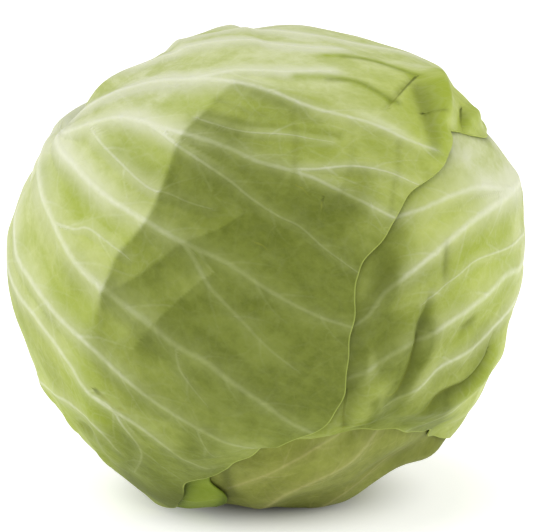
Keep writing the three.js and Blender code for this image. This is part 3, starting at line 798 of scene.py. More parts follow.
# Soft strokes of each tone: its amount and its reach, then points
STROKES = {
    "leaf_1": {
        "pale": [
            (0.35, 8, (-48, 11), (-37, 36), (-28, 51), (-15, 66)),
            (0.3, 6, (-40, 8), (-24, 12), (-9, 17), (10, 21)),
            (0.25, 4, (-12, 39), (2, 49), (14, 58)),
            (0.3, 10, (-30, 100), (-20, 125), (-14, 145)),
            (0.9, 3.4, (14, 150), (24, 148), (32, 147)),
            (0.7, 9, (-40, 38), (-26, 46), (-15, 50)),
            (-0.6, 12, (20, -50), (38, -56), (56, -60)),
            (-0.9, 12, (-4, 152), (8, 148), (20, 144), (33, 140), (44, 136), (54, 130)),
            (-0.5, 9, (12, 86), (15, 96), (17, 106), (20, 116)),
            (-0.25, 10, (-6, 2), (6, 0), (18, -2)),
            (0.6, 4, (-16, 145), (-5, 147), (4, 146)),
        ],
        "vivid": [
            (1.0, 6, (-4, 148), (6, 145), (18, 141), (31, 138), (42, 135), (52, 130)),
            (0.8, 5, (6, 168), (16, 163), (24, 157), (30, 152)),
            (1.0, 2.4, (-15, 112), (-14, 130), (-7, 138), (-1, 141)),
            (1.0, 2.4, (0, 98), (5, 114), (15, 122), (23, 125)),
            (-0.6, 3.0, (14, 150), (24, 148), (32, 147)),
            (0.7, 5, (-8, 55), (-4, 61), (0, 66)),
            (0.7, 6, (-6, 30), (6, 38), (16, 46)),
            (0.6, 5, (-26, 2), (-10, 7), (6, 11)),
            (0.4, 5, (14, 12), (24, 13), (32, 16)),
            (0.6, 6, (18, -13), (28, -12), (38, -12)),
            (0.4, 5, (-12, -21), (4, -26)),
            (0.5, 7, (8, 80), (20, 84), (34, 90)),
            (0.7, 10, (40, -30), (50, -40), (56, -56), (62, -72)),
            (1.0, 9, (66, -80), (76, -78), (84, -70)),
            (0.9, 12, (28, -64), (42, -66), (58, -70), (70, -74)),
            (0.6, 10, (52, -40), (62, -46), (72, -50)),
            (-0.6, 4, (-16, 145), (-5, 147), (4, 146)),
        ],
        "shade": [
            (0.5, 1.6, (-14, 118), (-13, 131), (-6, 138), (-1, 142)),
            (0.5, 1.6, (4, 108), (7, 117), (16, 123), (23, 126)),
            (0.16, 1.2, (19, 89), (33, 84), (50, 73), (56, 68)),
            (0.12, 1.2, (29, 107), (49, 96), (58, 87), (71, 77)),
            (0.2, 1.2, (44, 117), (55, 111), (73, 98)),
            (0.4, 12, (42, -66), (56, -68), (68, -68)),
            (0.4, 8, (60, -48), (68, -56), (76, -62), (80, -70)),
            (0.25, 8, (28, -44), (40, -50), (50, -56)),
            (0.25, 12, (-12, -40), (4, -42), (18, -44)),
            (0.35, 2.4, (10, 138), (30, 135), (42, 132), (52, 128)),
            (0.3, 2.2, (4, 64), (18, 75), (27, 88), (35, 99)),
            (0.25, 2.0, (0, 69), (16, 80), (26, 95)),
            (0.3, 3.0, (-4, 78), (8, 84), (20, 92)),
            (0.25, 6, (50, 62), (56, 70), (60, 76)),
            (0.25, 5, (0, 34), (12, 38), (20, 42)),
            (-0.12, 6, (48, -2), (56, -4), (66, -6)),
            (0.2, 10, (66, 60), (74, 52), (84, 58)),
            (0.2, 9, (64, 16), (72, 18), (84, 14)),
            (0.25, 7, (50, 64), (56, 72), (60, 80)),
            (0.3, 5, (5, 58), (12, 63), (20, 68)),
            (0.6, 7, (62, -82), (70, -83), (78, -79)),
            (0.4, 8, (64, -74), (72, -74), (82, -66)),
            (0.3, 7, (80, -46), (86, -36), (88, -24)),
            (0.22, 8, (22, -4), (28, -1), (34, 2)),
            (0.2, 7, (20, -24), (30, -20), (38, -18)),
            (-0.15, 7, (46, -6), (50, -10), (54, -16)),
            (0.12, 8, (12, 86), (15, 96), (17, 106), (20, 116)),
            (0.25, 5, (55, 97), (61, 92), (66, 84)),
            (0.12, 12, (54, -16), (58, -28), (60, -42)),
            (-0.15, 6, (60, -12), (64, -7), (70, -4)),
            (0.2, 8, (20, 34), (27, 38), (33, 42)),
        ],
        "tucked_shade": [
            (0.6, 3, (79, -80), (84, -71), (87, -61)),
            (1.0, 9, (58, -81), (67, -82), (78, -77)),
        ],
    },
    "leaf_2": {
        "pale": [
            (1.5, 15, (0, -60), (4, -44), (4, -34), (4, -20)),
            (0.8, 9, (14, -44), (20, -50), (30, -56)),
            (0.7, 11, (8, -42), (16, -38), (26, -32)),
        ],
        "vivid": [
            (0.6, 7, (40, -18), (54, -26), (66, -30)),
            (0.7, 7, (40, -4), (58, -6), (72, -10)),
            (0.8, 6, (66, 14), (80, 14), (96, 15)),
            (0.7, 6, (80, 44), (92, 30), (104, 17)),
        ],
        "shade": [
            (0.7, 11, (68, -62), (78, -60), (92, -54), (105, -42), (116, -30)),
            (0.25, 3.2, (79, -31), (84, -28), (88, -26)),
            (1.0, 3.6, (93, -21), (100, -15), (107, -11)),
            (0.5, 4, (84, -25), (88, -21), (92, -18)),
            (0.35, 7, (52, 6), (59, 5), (69, 1)),
            (0.3, 5, (92, -36), (96, -31), (102, -23)),
            (0.4, 4, (106, -9), (109, -5), (112, -3)),
            (-0.2, 5, (108, -34), (111, -27)),
            (-0.4, 6, (81, -61), (85, -59), (90, -56)),
            (0.4, 2.6, (66, 9), (80, 9), (97, 3)),
            (0.4, 3.4, (76, -53), (80, -50), (84, -47)),
            (1.0, 3.2, (102, -44), (107, -38), (112, -32)),
            (0.6, 2.6, (113, -15), (116, -9), (119, -3)),
            (0.35, 3, (92, -44), (98, -36), (103, -28)),
            (0.5, 8, (95, 12), (104, 8), (114, 2)),
            (0.7, 6, (98, 14), (94, 26), (88, 36)),
            (-0.3, 5, (104, -38), (110, -26), (116, -12)),
        ],
    },
    "leaf_3": {
        "shade": [
            (0.9, 3, (58, -42), (66, -38), (75, -30), (81, -20)),
            (0.4, 3, (58, -24), (70, -12), (80, -6)),
        ],
    },
    "leaf_4": {
        "shade": [
            (0.4, 7, (92, -34), (100, -41), (99, -52), (88, -70)),
            (0.4, 4, (103, 28), (108, 21), (114, 14), (118, 8)),
        ],
        "tucked_shade": [
            (0.9, 2.6, (90, 31), (85, 25), (80, 21), (76, 16)),
        ],
    },
}


def under_edge(leaf, x, y):
    """How near each point is to the margin of a leaf that lies over it, for the painted shade
    that falls there: 1 under that leaf and at its margin, and soon 0 beyond."""
    directions = leaf.on_head(x, y)
    near = np.zeros_like(x)
    for above in LEAVES[ORDER[leaf.name] + 1:]:
        beyond = np.maximum(above.beyond(directions), 0)
        close = 2.6 if above.name == "leaf_3" else 1.1
        near = np.maximum(near, 0.6 * np.exp(-beyond / close) + 0.4 * np.exp(-beyond / 5.0))
    return near


def front_tones(x, y):
    """Pale and shade of the large front leaf: pale at its left limb and at the top, partly as
    painted light, a sheen at the limb and light from above at the top; and olive inside the
    shade's edge, which is soft at its ends and sharp between them. The olive is weaker towards
    the top, painted lighter as light from above would make it, and weaker low down and close
    to the edge."""
    limb = 1 - smooth(-60, 44, x + 0.12 * np.abs(y))
    sideways = (1 + 0.3 * smooth(20, 60, y)) * (1 - 0.75 * smooth(-8, -46, y))
    top = smooth(58, 100, y - 0.4 * x) * (1 - 0.7 * smooth(106, 132, y))
    edge, _ = curve_fields(x, y, SHADE_EDGE, TONE_STEP)
    softness = 1.2 + 13 * smooth(0, -38, y) + 2.0 * smooth(74, 84, y)
    inside = smooth(-softness, softness, edge)
    upper = smooth(52, 96, y - 0.35 * (x - 40))
    lower = smooth(4, -34, y)
    beside = 1 - smooth(4, 26, edge)
    pale = np.maximum((0.2 + 0.75 * limb) * sideways, top) * (1 - 0.9 * inside)
    return pale, inside * (1 - 0.7 * upper - 0.36 * lower) * (1 - 0.3 * beside)


def leaf_zones(leaf, x, y, height):
    """How pale, shaded and vivid each point of a leaf is, and how much painted shade falls on it
    from the margins of leaves over it: paler towards its base, with painted shade where it turns
    away from the light and low down towards the floor, and steps and soft strokes laid over both."""
    zones = {
        "pale": 1 - smooth(-110, 20, x),
        "shade": np.zeros_like(x),
        "vivid": np.zeros_like(x),
        "tucked_shade": under_edge(leaf, x, y),
    }
    if leaf.name == "leaf_1":
        zones["pale"], zones["shade"] = front_tones(x, y)
    elif leaf.name == "leaf_2":
        zones["pale"] = 1.1 * (1 - smooth(-70, 70, x - 0.4 * y))
        zones["shade"] = 0.5 * smooth(50, 96, x - 0.1 * y)
    elif leaf.name == "leaf_3":
        zones["vivid"] += 0.6
    elif leaf.name == "leaf_4":
        zones["shade"] += 0.68
    if leaf.name != "leaf_3":
        # Painted shade low down, towards the floor
        zones["shade"] += 0.45 * smooth(44, 6, height)
    for left, left_reach, right, right_reach, *path in SHADE_STEPS.get(leaf.name, []):
        away, share = curve_fields(x, y, path, TONE_STEP)
        on_left = smooth(-0.8, 0.8, away)
        step = left * on_left * bell(away, left_reach) + right * (1 - on_left) * bell(away, right_reach)
        zones["shade"] += taper(share, 0.03, 0.5) * step
    for tone, rows in STROKES.get(leaf.name, {}).items():
        for amount, reach, *path in rows:
            zones[tone] += amount * bell(curve_fields(x, y, path, TONE_STEP)[0], reach)
    return {tone: np.clip(values, 0, 1.5 if tone == "pale" else 1) for tone, values in zones.items()}


def disc_grid(count):
    """A square grid laid on a disc: the ring is the larger of |a| and |b| and the angle runs
    evenly along the ring. Rows close up towards the tip and rings towards the margin."""
    side = np.linspace(-1, 1, count + 1)
    a, b = np.meshgrid(side + TIP_CROWDING * (1 - side**2), side, indexing="ij")
    wide = np.abs(a) >= np.abs(b)
    radius = np.where(wide, a, b)
    safe = np.where(radius == 0, 1, radius)
    angle = np.where(wide, np.pi / 4 * b / safe, np.pi / 2 - np.pi / 4 * a / safe)
    ring = np.abs(radius)
    ring = 1.05 * ring - 0.05 * ring**15
    angle = np.arctan2(np.sin(angle) * np.sign(safe), np.cos(angle) * np.sign(safe))
    return ring, angle


def lowest_near(values, reach):
    """The lowest value within a reach of rows and columns of each place."""
    padded = np.pad(values, reach, mode="edge")
    rows, columns = values.shape
    shifts = range(2 * reach + 1)
    return np.min([padded[i:i + rows, j:j + columns] for i in shifts for j in shifts], axis=0)


def ring_of(index):
    """The border of a square grid of point numbers, once round."""
    return np.concatenate([index[:-1, 0], index[-1, :-1], index[:0:-1, -1], index[0, :0:-1]])


def quads_of(index):
    """The quads of a square grid of point numbers."""
    return np.stack([index[:-1, :-1], index[1:, :-1], index[1:, 1:], index[:-1, 1:]], -1).reshape(-1, 4)


def closed_blade(outer, inner, rim):
    """Points and faces of a thin closed blade: a fine outer grid, a row of points round its
    rim, and every COARSE-th point of the inner grid, joined to the rim by one face for each edge
    of its border. Also tells which fine point each point belongs to."""
    rows = outer.shape[0]
    fine = np.arange(rows * rows).reshape(rows, rows)
    kept = fine[::COARSE, ::COARSE]
    border, coarse_border = ring_of(fine), ring_of(kept)
    edge = rows * rows + np.arange(len(border))
    coarse = edge[-1] + 1 + np.arange(kept.size).reshape(kept.shape)
    coarse_ring = ring_of(coarse)
    upper = np.stack([border, edge, np.roll(edge, -1), np.roll(border, -1)], -1)
    steps = np.arange(len(coarse_border))[:, None] * COARSE + np.arange(COARSE + 1)
    rim_run = edge[steps % len(edge)]
    lower = np.column_stack([rim_run[:, ::-1], coarse_ring, np.roll(coarse_ring, -1)])
    sources = np.concatenate([fine.ravel(), border, kept.ravel()])
    outer, rim, inner = (skin.reshape(-1, 3) for skin in (outer, rim, inner))
    points = np.vstack([outer, rim[border], inner[kept.ravel()]])
    return points, [quads_of(fine), quads_of(coarse)[:, ::-1], upper, lower], sources


def signed_volume(points, faces):
    """Volume of a closed mesh, above 0 when its faces point outwards: the sum over the fans of
    triangles of all its faces."""
    volume = 0.0
    for group in faces:
        for k in range(1, group.shape[1] - 1):
            a, b, c = (points[group[:, column]] for column in (0, k, k + 1))
            volume += (np.cross(a, b) * c).sum()
    return volume


def add_object(name, data):
    """A new object of the scene."""
    made = bpy.data.objects.new(name, data)
    bpy.context.scene.collection.objects.link(made)
    return made


def make_piece(name, node, points, faces, finish, attributes):
    """A smooth mesh object from points in millimetres and groups of faces with equal corner
    counts, with its attributes and its finish, in the place of the frame's node."""
    if signed_volume(points, faces) < 0:
        faces = [group[:, ::-1] for group in faces]
    mesh = bpy.data.meshes.new(name)
    mesh.vertices.add(len(points))
    mesh.vertices.foreach_set("co", (points * MM).astype(np.float32).ravel())
    corners = np.concatenate([group.ravel() for group in faces])
    counts = np.concatenate([np.full(len(group), group.shape[1]) for group in faces])
    mesh.loops.add(len(corners))
    mesh.loops.foreach_set("vertex_index", corners.astype(np.int32))
    mesh.polygons.add(len(counts))
    mesh.polygons.foreach_set("loop_start", (np.cumsum(counts) - counts).astype(np.int32))
    mesh.update(calc_edges=True)
    mesh.validate()
    mesh.shade_smooth()
    for label, values in attributes.items():
        kind, field = ("FLOAT", "value") if values.ndim == 1 else ("FLOAT_VECTOR", "vector")
        layer = mesh.attributes.new(label, kind, "POINT")
        layer.data.foreach_set(field, values.astype(np.float32).ravel())
    mesh.materials.append(finish)
    piece = add_object(name, mesh)
    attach(piece, "root")
    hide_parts(node)


def blade_relief(leaf, x, y, main, fine, folds, seed):
    """How high veins, folds, soft unevenness and twigs stand on the plain blade."""
    away, width, force, _ = main
    ridge = VEIN_RIDGE * bell(away, VEIN_RIDGE_SHARE * width + VEIN_RIDGE_BEYOND) * np.sqrt(width / 2)
    swell = VEIN_SWELL * bell(away, VEIN_SWELL_SHARE * width + VEIN_SWELL_BEYOND)
    twig_away, _, twig_force, _ = fine
    twigs = TWIG_RIDGE * twig_force * bell(twig_away, TWIG_REACH)
    places = leaf.on_head(x, y) * BALL_RADIUS
    uneven = UNEVEN * ripple(places, UNEVEN_LENGTH, seed)
    uneven = uneven + FINE_UNEVEN * ripple(places, FINE_UNEVEN_LENGTH, seed + 1)
    return softened(force * (ridge + swell), 2) + folds + uneven + twigs


def blade_seat(leaf, x, y, inside, relief):
    """Distance from the centre to a blade's underside: its bed, raised by the leaf's lift and
    relief where it is bare, and lowered near the margin onto what is under it."""
    order = ORDER[leaf.name]
    directions = leaf.on_head(x, y)
    bed = bed_under(order, directions)
    lifted = leaf.lift(x, y)
    at_margin = 1 - smooth(0, MARGIN_TUCK, inside)
    if leaf.name in SETTLED:
        reach, *path = SETTLED[leaf.name]
        close = bell(line_fields(x, y, path)[0], reach)
        lifted = lifted * (1 - close)
        at_margin = np.maximum(at_margin, close * (1 - smooth(0, SETTLED_TUCK, inside)))
    spare = np.maximum(bed - top_below(order, directions) - MARGIN_GAP, 0)
    tuck = spare * at_margin * smooth(*HELD_BASE, x) * (1 - smooth(*HELD_LIFT, lifted))
    return bed + bareness(order, directions) * lifted + relief * (1 - MARGIN_EASE * at_margin) - tuck


def strand_fields(label, fields, full, gone):
    """What a finish needs of strands: the distance in half widths and the force, which fades
    over a distance and is 0 where two strands are as near."""
    away, width, force, clash = fields
    return {
        label: np.clip(away / width, -8, 8),
        label + "_force": np.where(clash, 0, force) * (1 - smooth(full, gone, np.abs(away))),
    }


def blade_fields(leaf, x, y, main, fine, seed, height):
    """All that the leaf finish reads: the places on the chart and along the spokes from the
    leaf's base, the strands with their glow and halo, and the zones of tone."""
    away, width, force, _ = main
    nick_and_fold_shades = drawn_strands(NICKS_AND_FOLD_SHADE.get(leaf.name, []), (1.0, 0.6), (1.0, 0.5))
    from_base = x - LEAF_BASE_X
    fan = np.arctan2(y, from_base)
    mark = np.full_like(x, seed)
    fields = {
        "chart": np.stack([x / 10, y / 10, mark], -1),
        "spokes": np.stack([fan * 6.5, np.hypot(from_base, y) / 42, mark], -1),
        **strand_fields("vein", main, 2.0, 3.4),
        "vein_glow": force * bell(away, 1.8 * width + 1.2),
        "halo": bell(away, 1.2 * width + 3.5),
        **strand_fields("twig", fine, 1.4, 2.6),
        **strand_fields("nick_and_fold_shade", nick_and_fold_shades.fields(x, y), 1.6, 2.8),
        **leaf_zones(leaf, x, y, height),
    }
    if leaf.name in SHADED_SIDE:
        # Painted shade on the side of each vein that faces away from the light
        below_vein = SHADED_SIDE[leaf.name] * away - 1.6 * width - 1.2
        fields["shade"] = np.clip(fields["shade"] + 0.22 * force * bell(below_vein, width + 2.0), 0, 1)
    return fields


def leaf_piece(leaf, count, finish, seed):
    """A wrapper leaf as a closed blade, thinner at its margin, whose inner face keeps below the
    lowest of the bed round each of its coarse points."""
    ring, angle = disc_grid(count)
    margin = leaf.reach(angle) + MARGIN_WAVE * np.sin(MARGIN_WAVES * angle + seed)
    margin = margin + MARGIN_RIPPLE * np.sin(MARGIN_RIPPLES * angle)
    x, y = ring * margin * np.cos(angle), ring * margin * np.sin(angle)
    inside = (1 - ring) * margin
    directions = leaf.on_head(x, y)
    shown = bareness(ORDER[leaf.name], directions, SHOWN_FROM)

    veins = leaf_veins(leaf)
    main = veins.fields(x, y)
    fine = twigs_of(veins, seed).fields(x, y)
    folds, hollow = fold_relief(leaf, x, y)
    relief = blade_relief(leaf, x, y, main, fine, folds, seed)
    seat = blade_seat(leaf, x, y, inside, shown * relief)
    thick = MARGIN_BLADE + (BLADE - MARGIN_BLADE) * smooth(0, MARGIN_THIN, inside)

    outer = HEAD_CENTRE + directions * (seat + thick + leaf.rib(x, y, 0))[..., None]
    outer[..., 2] = np.maximum(outer[..., 2], 0)
    under = np.where(inside > 0.5, lowest_near(seat, 2), seat)
    inner = HEAD_CENTRE + directions * (under - INNER_GAP)[..., None]
    rim_at = leaf.on_head(x * (1 + RIM_OUT / margin), y * (1 + RIM_OUT / margin))
    rim = HEAD_CENTRE + rim_at * (seat + RIM_LEVEL * thick)[..., None]
    points, faces, sources = closed_blade(outer, inner, rim)

    fields = blade_fields(leaf, x, y, main, fine, seed, outer[..., 2])
    fields.update({"inside": inside, "hollow": hollow * shown})
    attributes = {
        label: values.reshape(x.size, *values.shape[2:])[sources] for label, values in fields.items()
    }
    make_piece(leaf.name + "_blade", leaf.name, points, faces, finish, attributes)


def closed_tube(grid):
    """Points and faces of a closed body from rings of points, its first and last ring each one
    point, where the faces come together in narrow quads with a shared corner."""
    rings, columns = grid.shape[:2]
    index = np.arange(rings * columns).reshape(rings, columns)
    index = np.column_stack([index, index[:, 0]])
    return grid.reshape(-1, 3), [quads_of(index.T)]


def heart_piece(finish):
    """The heart: rings from the stalk's plate to the apex, each lifted by the low steps where
    the margins of its outermost leaves wind round it."""
    polar = np.linspace(STEM_PLATE_POLAR, HEART_LAST_POLAR, HEART_RINGS + 1)
    across = np.linspace(0, 360, HEART_COLUMNS, endpoint=False)
    polar, across = np.meshgrid(polar, across, indexing="ij")
    directions = from_stem(polar, across + HEART_TWIST * polar)
    rise = np.interp(across % (360 / HEART_LEAVES), *HEART_MARGIN)
    skin = heart_skin(directions) + HEART_STEP * rise * np.sqrt(np.sin(np.radians(polar)))
    skin[0] = heart_skin(STEM)
    foot = np.tile(STEM * skin[0, 0] * np.cos(np.radians(STEM_PLATE_POLAR)), (1, HEART_COLUMNS, 1))
    crown = np.tile(APEX * heart_skin(APEX), (1, HEART_COLUMNS, 1))
    grid = HEAD_CENTRE + np.concatenate([foot, directions * skin[..., None], crown])
    points, faces = closed_tube(grid)
    make_piece("heart_ball", "heart", points, faces, finish, {"chart": points / 10})


def stalk_piece(finish):
    """The cut stalk: a short round stub with the low scars of shed leaves winding round it and a
    slightly hollow, rough cut face."""
    along, out = np.array(STALK_PROFILE).T[..., None]
    turn = np.linspace(0, 2 * np.pi, STALK_COLUMNS, endpoint=False)
    scars = 0.05 * np.maximum(0, np.sin(2 * turn + 14 * along)) ** 3 * np.sin(np.pi * along)
    wobble = 1 + 0.02 * np.sin(3 * turn + 1) + 0.012 * np.sin(7 * turn)
    radius = STALK_RADIUS * out * (wobble - scars)
    foot = heart_skin(STEM) * np.cos(np.radians(STEM_PLATE_POLAR)) + TOUCH_GAP
    grid = (
        HEAD_CENTRE
        + STEM * (foot + STALK_LENGTH * along)[..., None]
        + UPWARD * (radius * np.cos(turn))[..., None]
        + RIGHTWARD * (radius * np.sin(turn))[..., None]
    )
    points, faces = closed_tube(grid)
    cut = np.clip((np.arange(len(along)) - CUT_FROM_ROW) / 3, 0, 1)
    attributes = {"cut": np.repeat(cut, STALK_COLUMNS), "out": np.repeat(out, STALK_COLUMNS)}
    make_piece("stalk_stub", "stalk", points, faces, finish, attributes)


def srgb(red, green, blue):
    """A colour given as on a screen, 0 to 255, as the linear colour that a shader takes."""
    share = np.array([red, green, blue]) / 255
    linear = np.where(share <= 0.04045, share / 12.92, ((share + 0.055) / 1.055) ** 2.4)
    return (*linear, 1.0)


class Wire:
    """A socket that gives numbers, so that maths on it is written as a Python expression."""

    def __init__(self, finish, socket):
        self.finish = finish
        self.socket = socket

    def maths(self, operation, first, second):
        values = {"Value": first, "Value_001": second}
        return self.finish.node("ShaderNodeMath", {"operation": operation}, values)

    def __add__(self, other):
        return self.maths("ADD", self, other)

    def __radd__(self, other):
        return self.maths("ADD", other, self)

    def __sub__(self, other):
        return self.maths("SUBTRACT", self, other)

    def __rsub__(self, other):
        return self.maths("SUBTRACT", other, self)

    def __mul__(self, other):
        return self.maths("MULTIPLY", self, other)

    def __rmul__(self, other):
        return self.maths("MULTIPLY", other, self)

    def __abs__(self):
        return self.maths("ABSOLUTE", self, 0.0)


class Finish:
    """A material and the means to build it: every node comes from node()."""

    def __init__(self, name, settings):
        self.material = bpy.data.materials.new(name)
        self.material.use_nodes = True
        self.tree = self.material.node_tree
        self.shader = self.tree.nodes["Principled BSDF"]
        for socket, value in settings.items():
            self.shader.inputs[socket].default_value = value

    def node(self, kind, settings, values, output=0):
        """A node of a kind: its settings first, then its sockets' values or links."""
        made = self.tree.nodes.new(kind)
        for name, setting in settings.items():
            setattr(made, name, setting)
        sockets = {socket.identifier: socket for socket in made.inputs}
        for name, value in values.items():
            if isinstance(value, Wire):
                self.tree.links.new(value.socket, sockets[name])
            else:
                sockets[name].default_value = value
        return Wire(self, made.outputs[output])

    def feed(self, socket, wire):
        self.tree.links.new(wire.socket, self.shader.inputs[socket])

    def field(self, name):
        """A number that each point of the piece carries."""
        return self.node("ShaderNodeAttribute", {"attribute_name": name}, {}, 2)

    def place(self, name):
        """A place that each point of the piece carries, such as that on the chart in
        centimetres."""
        return self.node("ShaderNodeAttribute", {"attribute_name": name}, {}, 1)

    def step(self, low, high, value):
        """0 up to low, 1 from high, smooth between; low may be above high."""
        values = {"Value": value, "From Min": low, "From Max": high}
        return self.node("ShaderNodeMapRange", {"interpolation_type": "SMOOTHSTEP"}, values)

    def mix(self, share, first, second):
        """Two colours mixed by a share."""
        values = {"Factor_Float": share, "A_Color": first, "B_Color": second}
        return self.node("ShaderNodeMix", {"data_type": "RGBA"}, values, 2)

    def noise(self, place, scale, detail, roughness=0.5):
        values = {"Vector": place, "Scale": scale, "Detail": detail, "Roughness": roughness}
        return self.node("ShaderNodeTexNoise", {}, values)

    def warped(self, place, scale, amount):
        """A place pushed about by a colour noise, so that what is drawn there isn't regular."""
        values = {"Vector": place, "Scale": scale, "Detail": 2.0}
        colour = self.node("ShaderNodeTexNoise", {}, values, 1)
        centred = self.vector("SUBTRACT", {"Vector": colour, "Vector_001": (0.5, 0.5, 0.5)})
        pushed = self.vector("SCALE", {"Vector": centred, "Scale": amount})
        return self.vector("ADD", {"Vector": place, "Vector_001": pushed})

    def vector(self, operation, values, output=0):
        return self.node("ShaderNodeVectorMath", {"operation": operation}, values, output)

    def net(self, place, scale, width):
        """Thin lines between the cells of an irregular net, 1 on a line."""
        values = {"Vector": place, "Scale": scale}
        edge = self.node("ShaderNodeTexVoronoi", {"feature": "DISTANCE_TO_EDGE"}, values)
        return self.step(width, 0.0, edge)

    def bump(self, height, distance, strength=1.0):
        values = {"Height": height, "Distance": distance, "Strength": strength}
        return self.node("ShaderNodeBump", {}, values)


LEAF_SKIN = {
    "Roughness": 0.5,
    "IOR": 1.42,
    "Specular IOR Level": 0.1,
    "Subsurface Weight": 0.08,
    "Subsurface Radius": (0.9, 1.0, 0.35),
    "Subsurface Scale": 0.0022,
}
STALK_WOOD = {
    "Roughness": 0.7,
    "Specular IOR Level": 0.3,
    "Subsurface Weight": 0.08,
    "Subsurface Scale": 0.002,
}
WHITE_PAPER = {
    "Base Color": (0.75, 0.75, 0.75, 1),
    "Roughness": 0.9,
    "Specular IOR Level": 0.1,
    "Emission Strength": 0.62,
}

# Colours of each leaf skin, 0 to 255 as on a screen: light, deep, shaded, pale, vivid, vein,
# dim vein and rim
SKIN_TONES = {
    "outer_leaf_skin": [
        (188, 198, 110), (162, 175, 74), (110, 121, 46), (212, 216, 178),
        (152, 168, 50), (232, 234, 212), (168, 176, 120), (170, 183, 92),
    ],
    "lower_leaf_skin": [
        (182, 190, 104), (150, 160, 66), (124, 130, 52), (204, 208, 160),
        (140, 154, 50), (212, 206, 160), (188, 180, 122), (150, 164, 78),
    ],
    "leaf_tip_skin": [
        (142, 158, 60), (120, 138, 42), (72, 90, 20), (170, 178, 100),
        (126, 144, 42), (160, 174, 86), (130, 146, 58), (104, 122, 34),
    ],
    "inner_leaf_skin": [
        (206, 214, 144), (180, 196, 106), (164, 182, 92), (222, 226, 192),
        (174, 192, 96), (232, 235, 210), (210, 214, 170), (196, 208, 122),
    ],
}


def dimmed(colour, share):
    """A linear colour made darker."""
    return (*(share * part for part in colour[:3]), 1.0)


def leaf_finish(name):
    """Waxy leaf skin. Light and deep green run in soft spokes between the veins, pale towards
    the base and beside the veins, vivid in places and olive where it is shaded. Over that lie
    pale veins of several ranks, thin dark lines that are nicks and painted shade in pleats and
    creases, painted shade in the hollows of folds and under the margins of leaves over it, a
    bright margin and a faint bloom of wax."""
    finish = Finish(name, LEAF_SKIN)
    tones = (srgb(*tone) for tone in SKIN_TONES[name])
    light, deep, shaded, pale_tone, vivid_tone, vein_tone, dim_vein, rim_tone = tones
    chart, spokes = finish.place("chart"), finish.place("spokes")
    pale, shade, vivid = finish.field("pale"), finish.field("shade"), finish.field("vivid")
    halo = finish.field("halo")
    streaks = finish.noise(finish.warped(spokes, 1.2, 0.25), 2.6, 5.0, 0.62)
    patches = finish.noise(finish.warped(chart, 0.5, 0.8), 0.55, 4.0, 0.6)
    grain = finish.noise(chart, 3.0, 5.0, 0.6)
    fibres = finish.noise(spokes, 12.0, 4.0, 0.6)

    between = finish.step(0.34, 0.64, 0.5 * streaks + 0.35 * patches + 0.15 * grain) * (1.0 - 0.5 * halo)
    green = finish.mix(between, light, deep)
    green = finish.mix(pale * (0.22 + 0.45 * halo + 0.45 * (1.0 - between)), green, pale_tone)
    green = finish.mix(vivid * (0.5 + 0.5 * streaks), green, vivid_tone)
    mottle = 0.3 * patches + 0.4 * streaks + 0.3 * grain
    olive = finish.mix(finish.step(0.38, 0.62, mottle), shaded, dimmed(shaded, 0.8))
    green = finish.mix(shade * (0.66 + 0.52 * mottle), green, olive)

    net_place = finish.warped(chart, 0.8, 0.5)
    wide_net = finish.net(net_place, 0.95, 0.075)
    fine_net = finish.net(net_place, 2.9, 0.11)
    twig = finish.step(1.6, 0.1, abs(finish.field("twig"))) * finish.field("twig_force")
    core = finish.step(1.05, 0.05, abs(finish.field("vein"))) * finish.field("vein_force")
    glow = finish.field("vein_glow")
    vein = finish.mix(finish.step(0.35, 1.0, shade), vein_tone, dim_vein)
    green = finish.mix(fine_net * 0.025 + wide_net * (0.02 + 0.04 * grain), green, vein)
    green = finish.mix(twig * (0.08 + 0.24 * fibres), green, vein)
    green = finish.mix(glow * (0.12 + 0.24 * fibres), green, vein)
    green = finish.mix(core * (0.2 + 0.56 * fibres), green, vein)

    # Thin dark lines: painted shade along pleats and creases, and small nicks
    nick_and_fold_shade_force = finish.field("nick_and_fold_shade_force")
    nick_and_fold_shade = finish.step(1.1, 0.2, abs(finish.field("nick_and_fold_shade"))) * nick_and_fold_shade_force
    nick_and_fold_shade_tone = finish.mix(finish.step(0.4, 0.8, nick_and_fold_shade_force), srgb(152, 154, 52), dimmed(deep, 0.25))
    green = finish.mix(nick_and_fold_shade * (0.5 + 0.3 * nick_and_fold_shade_force), green, nick_and_fold_shade_tone)
    # Painted shade in the grooves of pleats, creases and valleys
    green = finish.mix(finish.field("hollow") * 0.7, green, dimmed(deep, 0.4))
    # Painted shade under and beside the margins of leaves that lie over this one
    tucked_shade = finish.field("tucked_shade")
    green = finish.mix(tucked_shade * 0.75, green, dimmed(deep, 0.3))
    rim = finish.step(0.55, 0.05, finish.field("inside")) * (1.0 - tucked_shade)
    green = finish.mix(rim * 0.6, green, rim_tone)
    bloom = finish.step(0.5, 0.75, finish.noise(chart, 0.9, 5.0, 0.7))
    green = finish.mix(bloom * 0.03, green, srgb(206, 210, 190))
    finish.feed("Base Color", green)

    finish.feed("Roughness", 0.42 + 0.14 * grain + 0.1 * bloom)
    height = core * 0.5 + glow * 0.3 + twig * 0.25 + wide_net * 0.08 + fine_net * 0.05 + grain * 0.12
    height = height + fibres * 0.16 + streaks * 0.2 - nick_and_fold_shade * nick_and_fold_shade_force * nick_and_fold_shade_force * 0.8
    finish.feed("Normal", finish.bump(height, 0.0006, 0.8))
    return finish.material


def heart_finish():
    """Pale inner leaves, greener in soft patches."""
    finish = Finish("heart_skin", LEAF_SKIN)
    chart = finish.place("chart")
    patches = finish.noise(chart, 0.35, 4.0)
    net = finish.net(finish.warped(chart, 0.8, 0.5), 0.9, 0.09)
    tone = finish.mix(patches, srgb(214, 220, 160), srgb(188, 200, 118))
    finish.feed("Base Color", finish.mix(net * 0.3, tone, srgb(232, 234, 204)))
    finish.feed("Normal", finish.bump(net * 0.5 + patches * 0.4, 0.0006))
    return finish.material


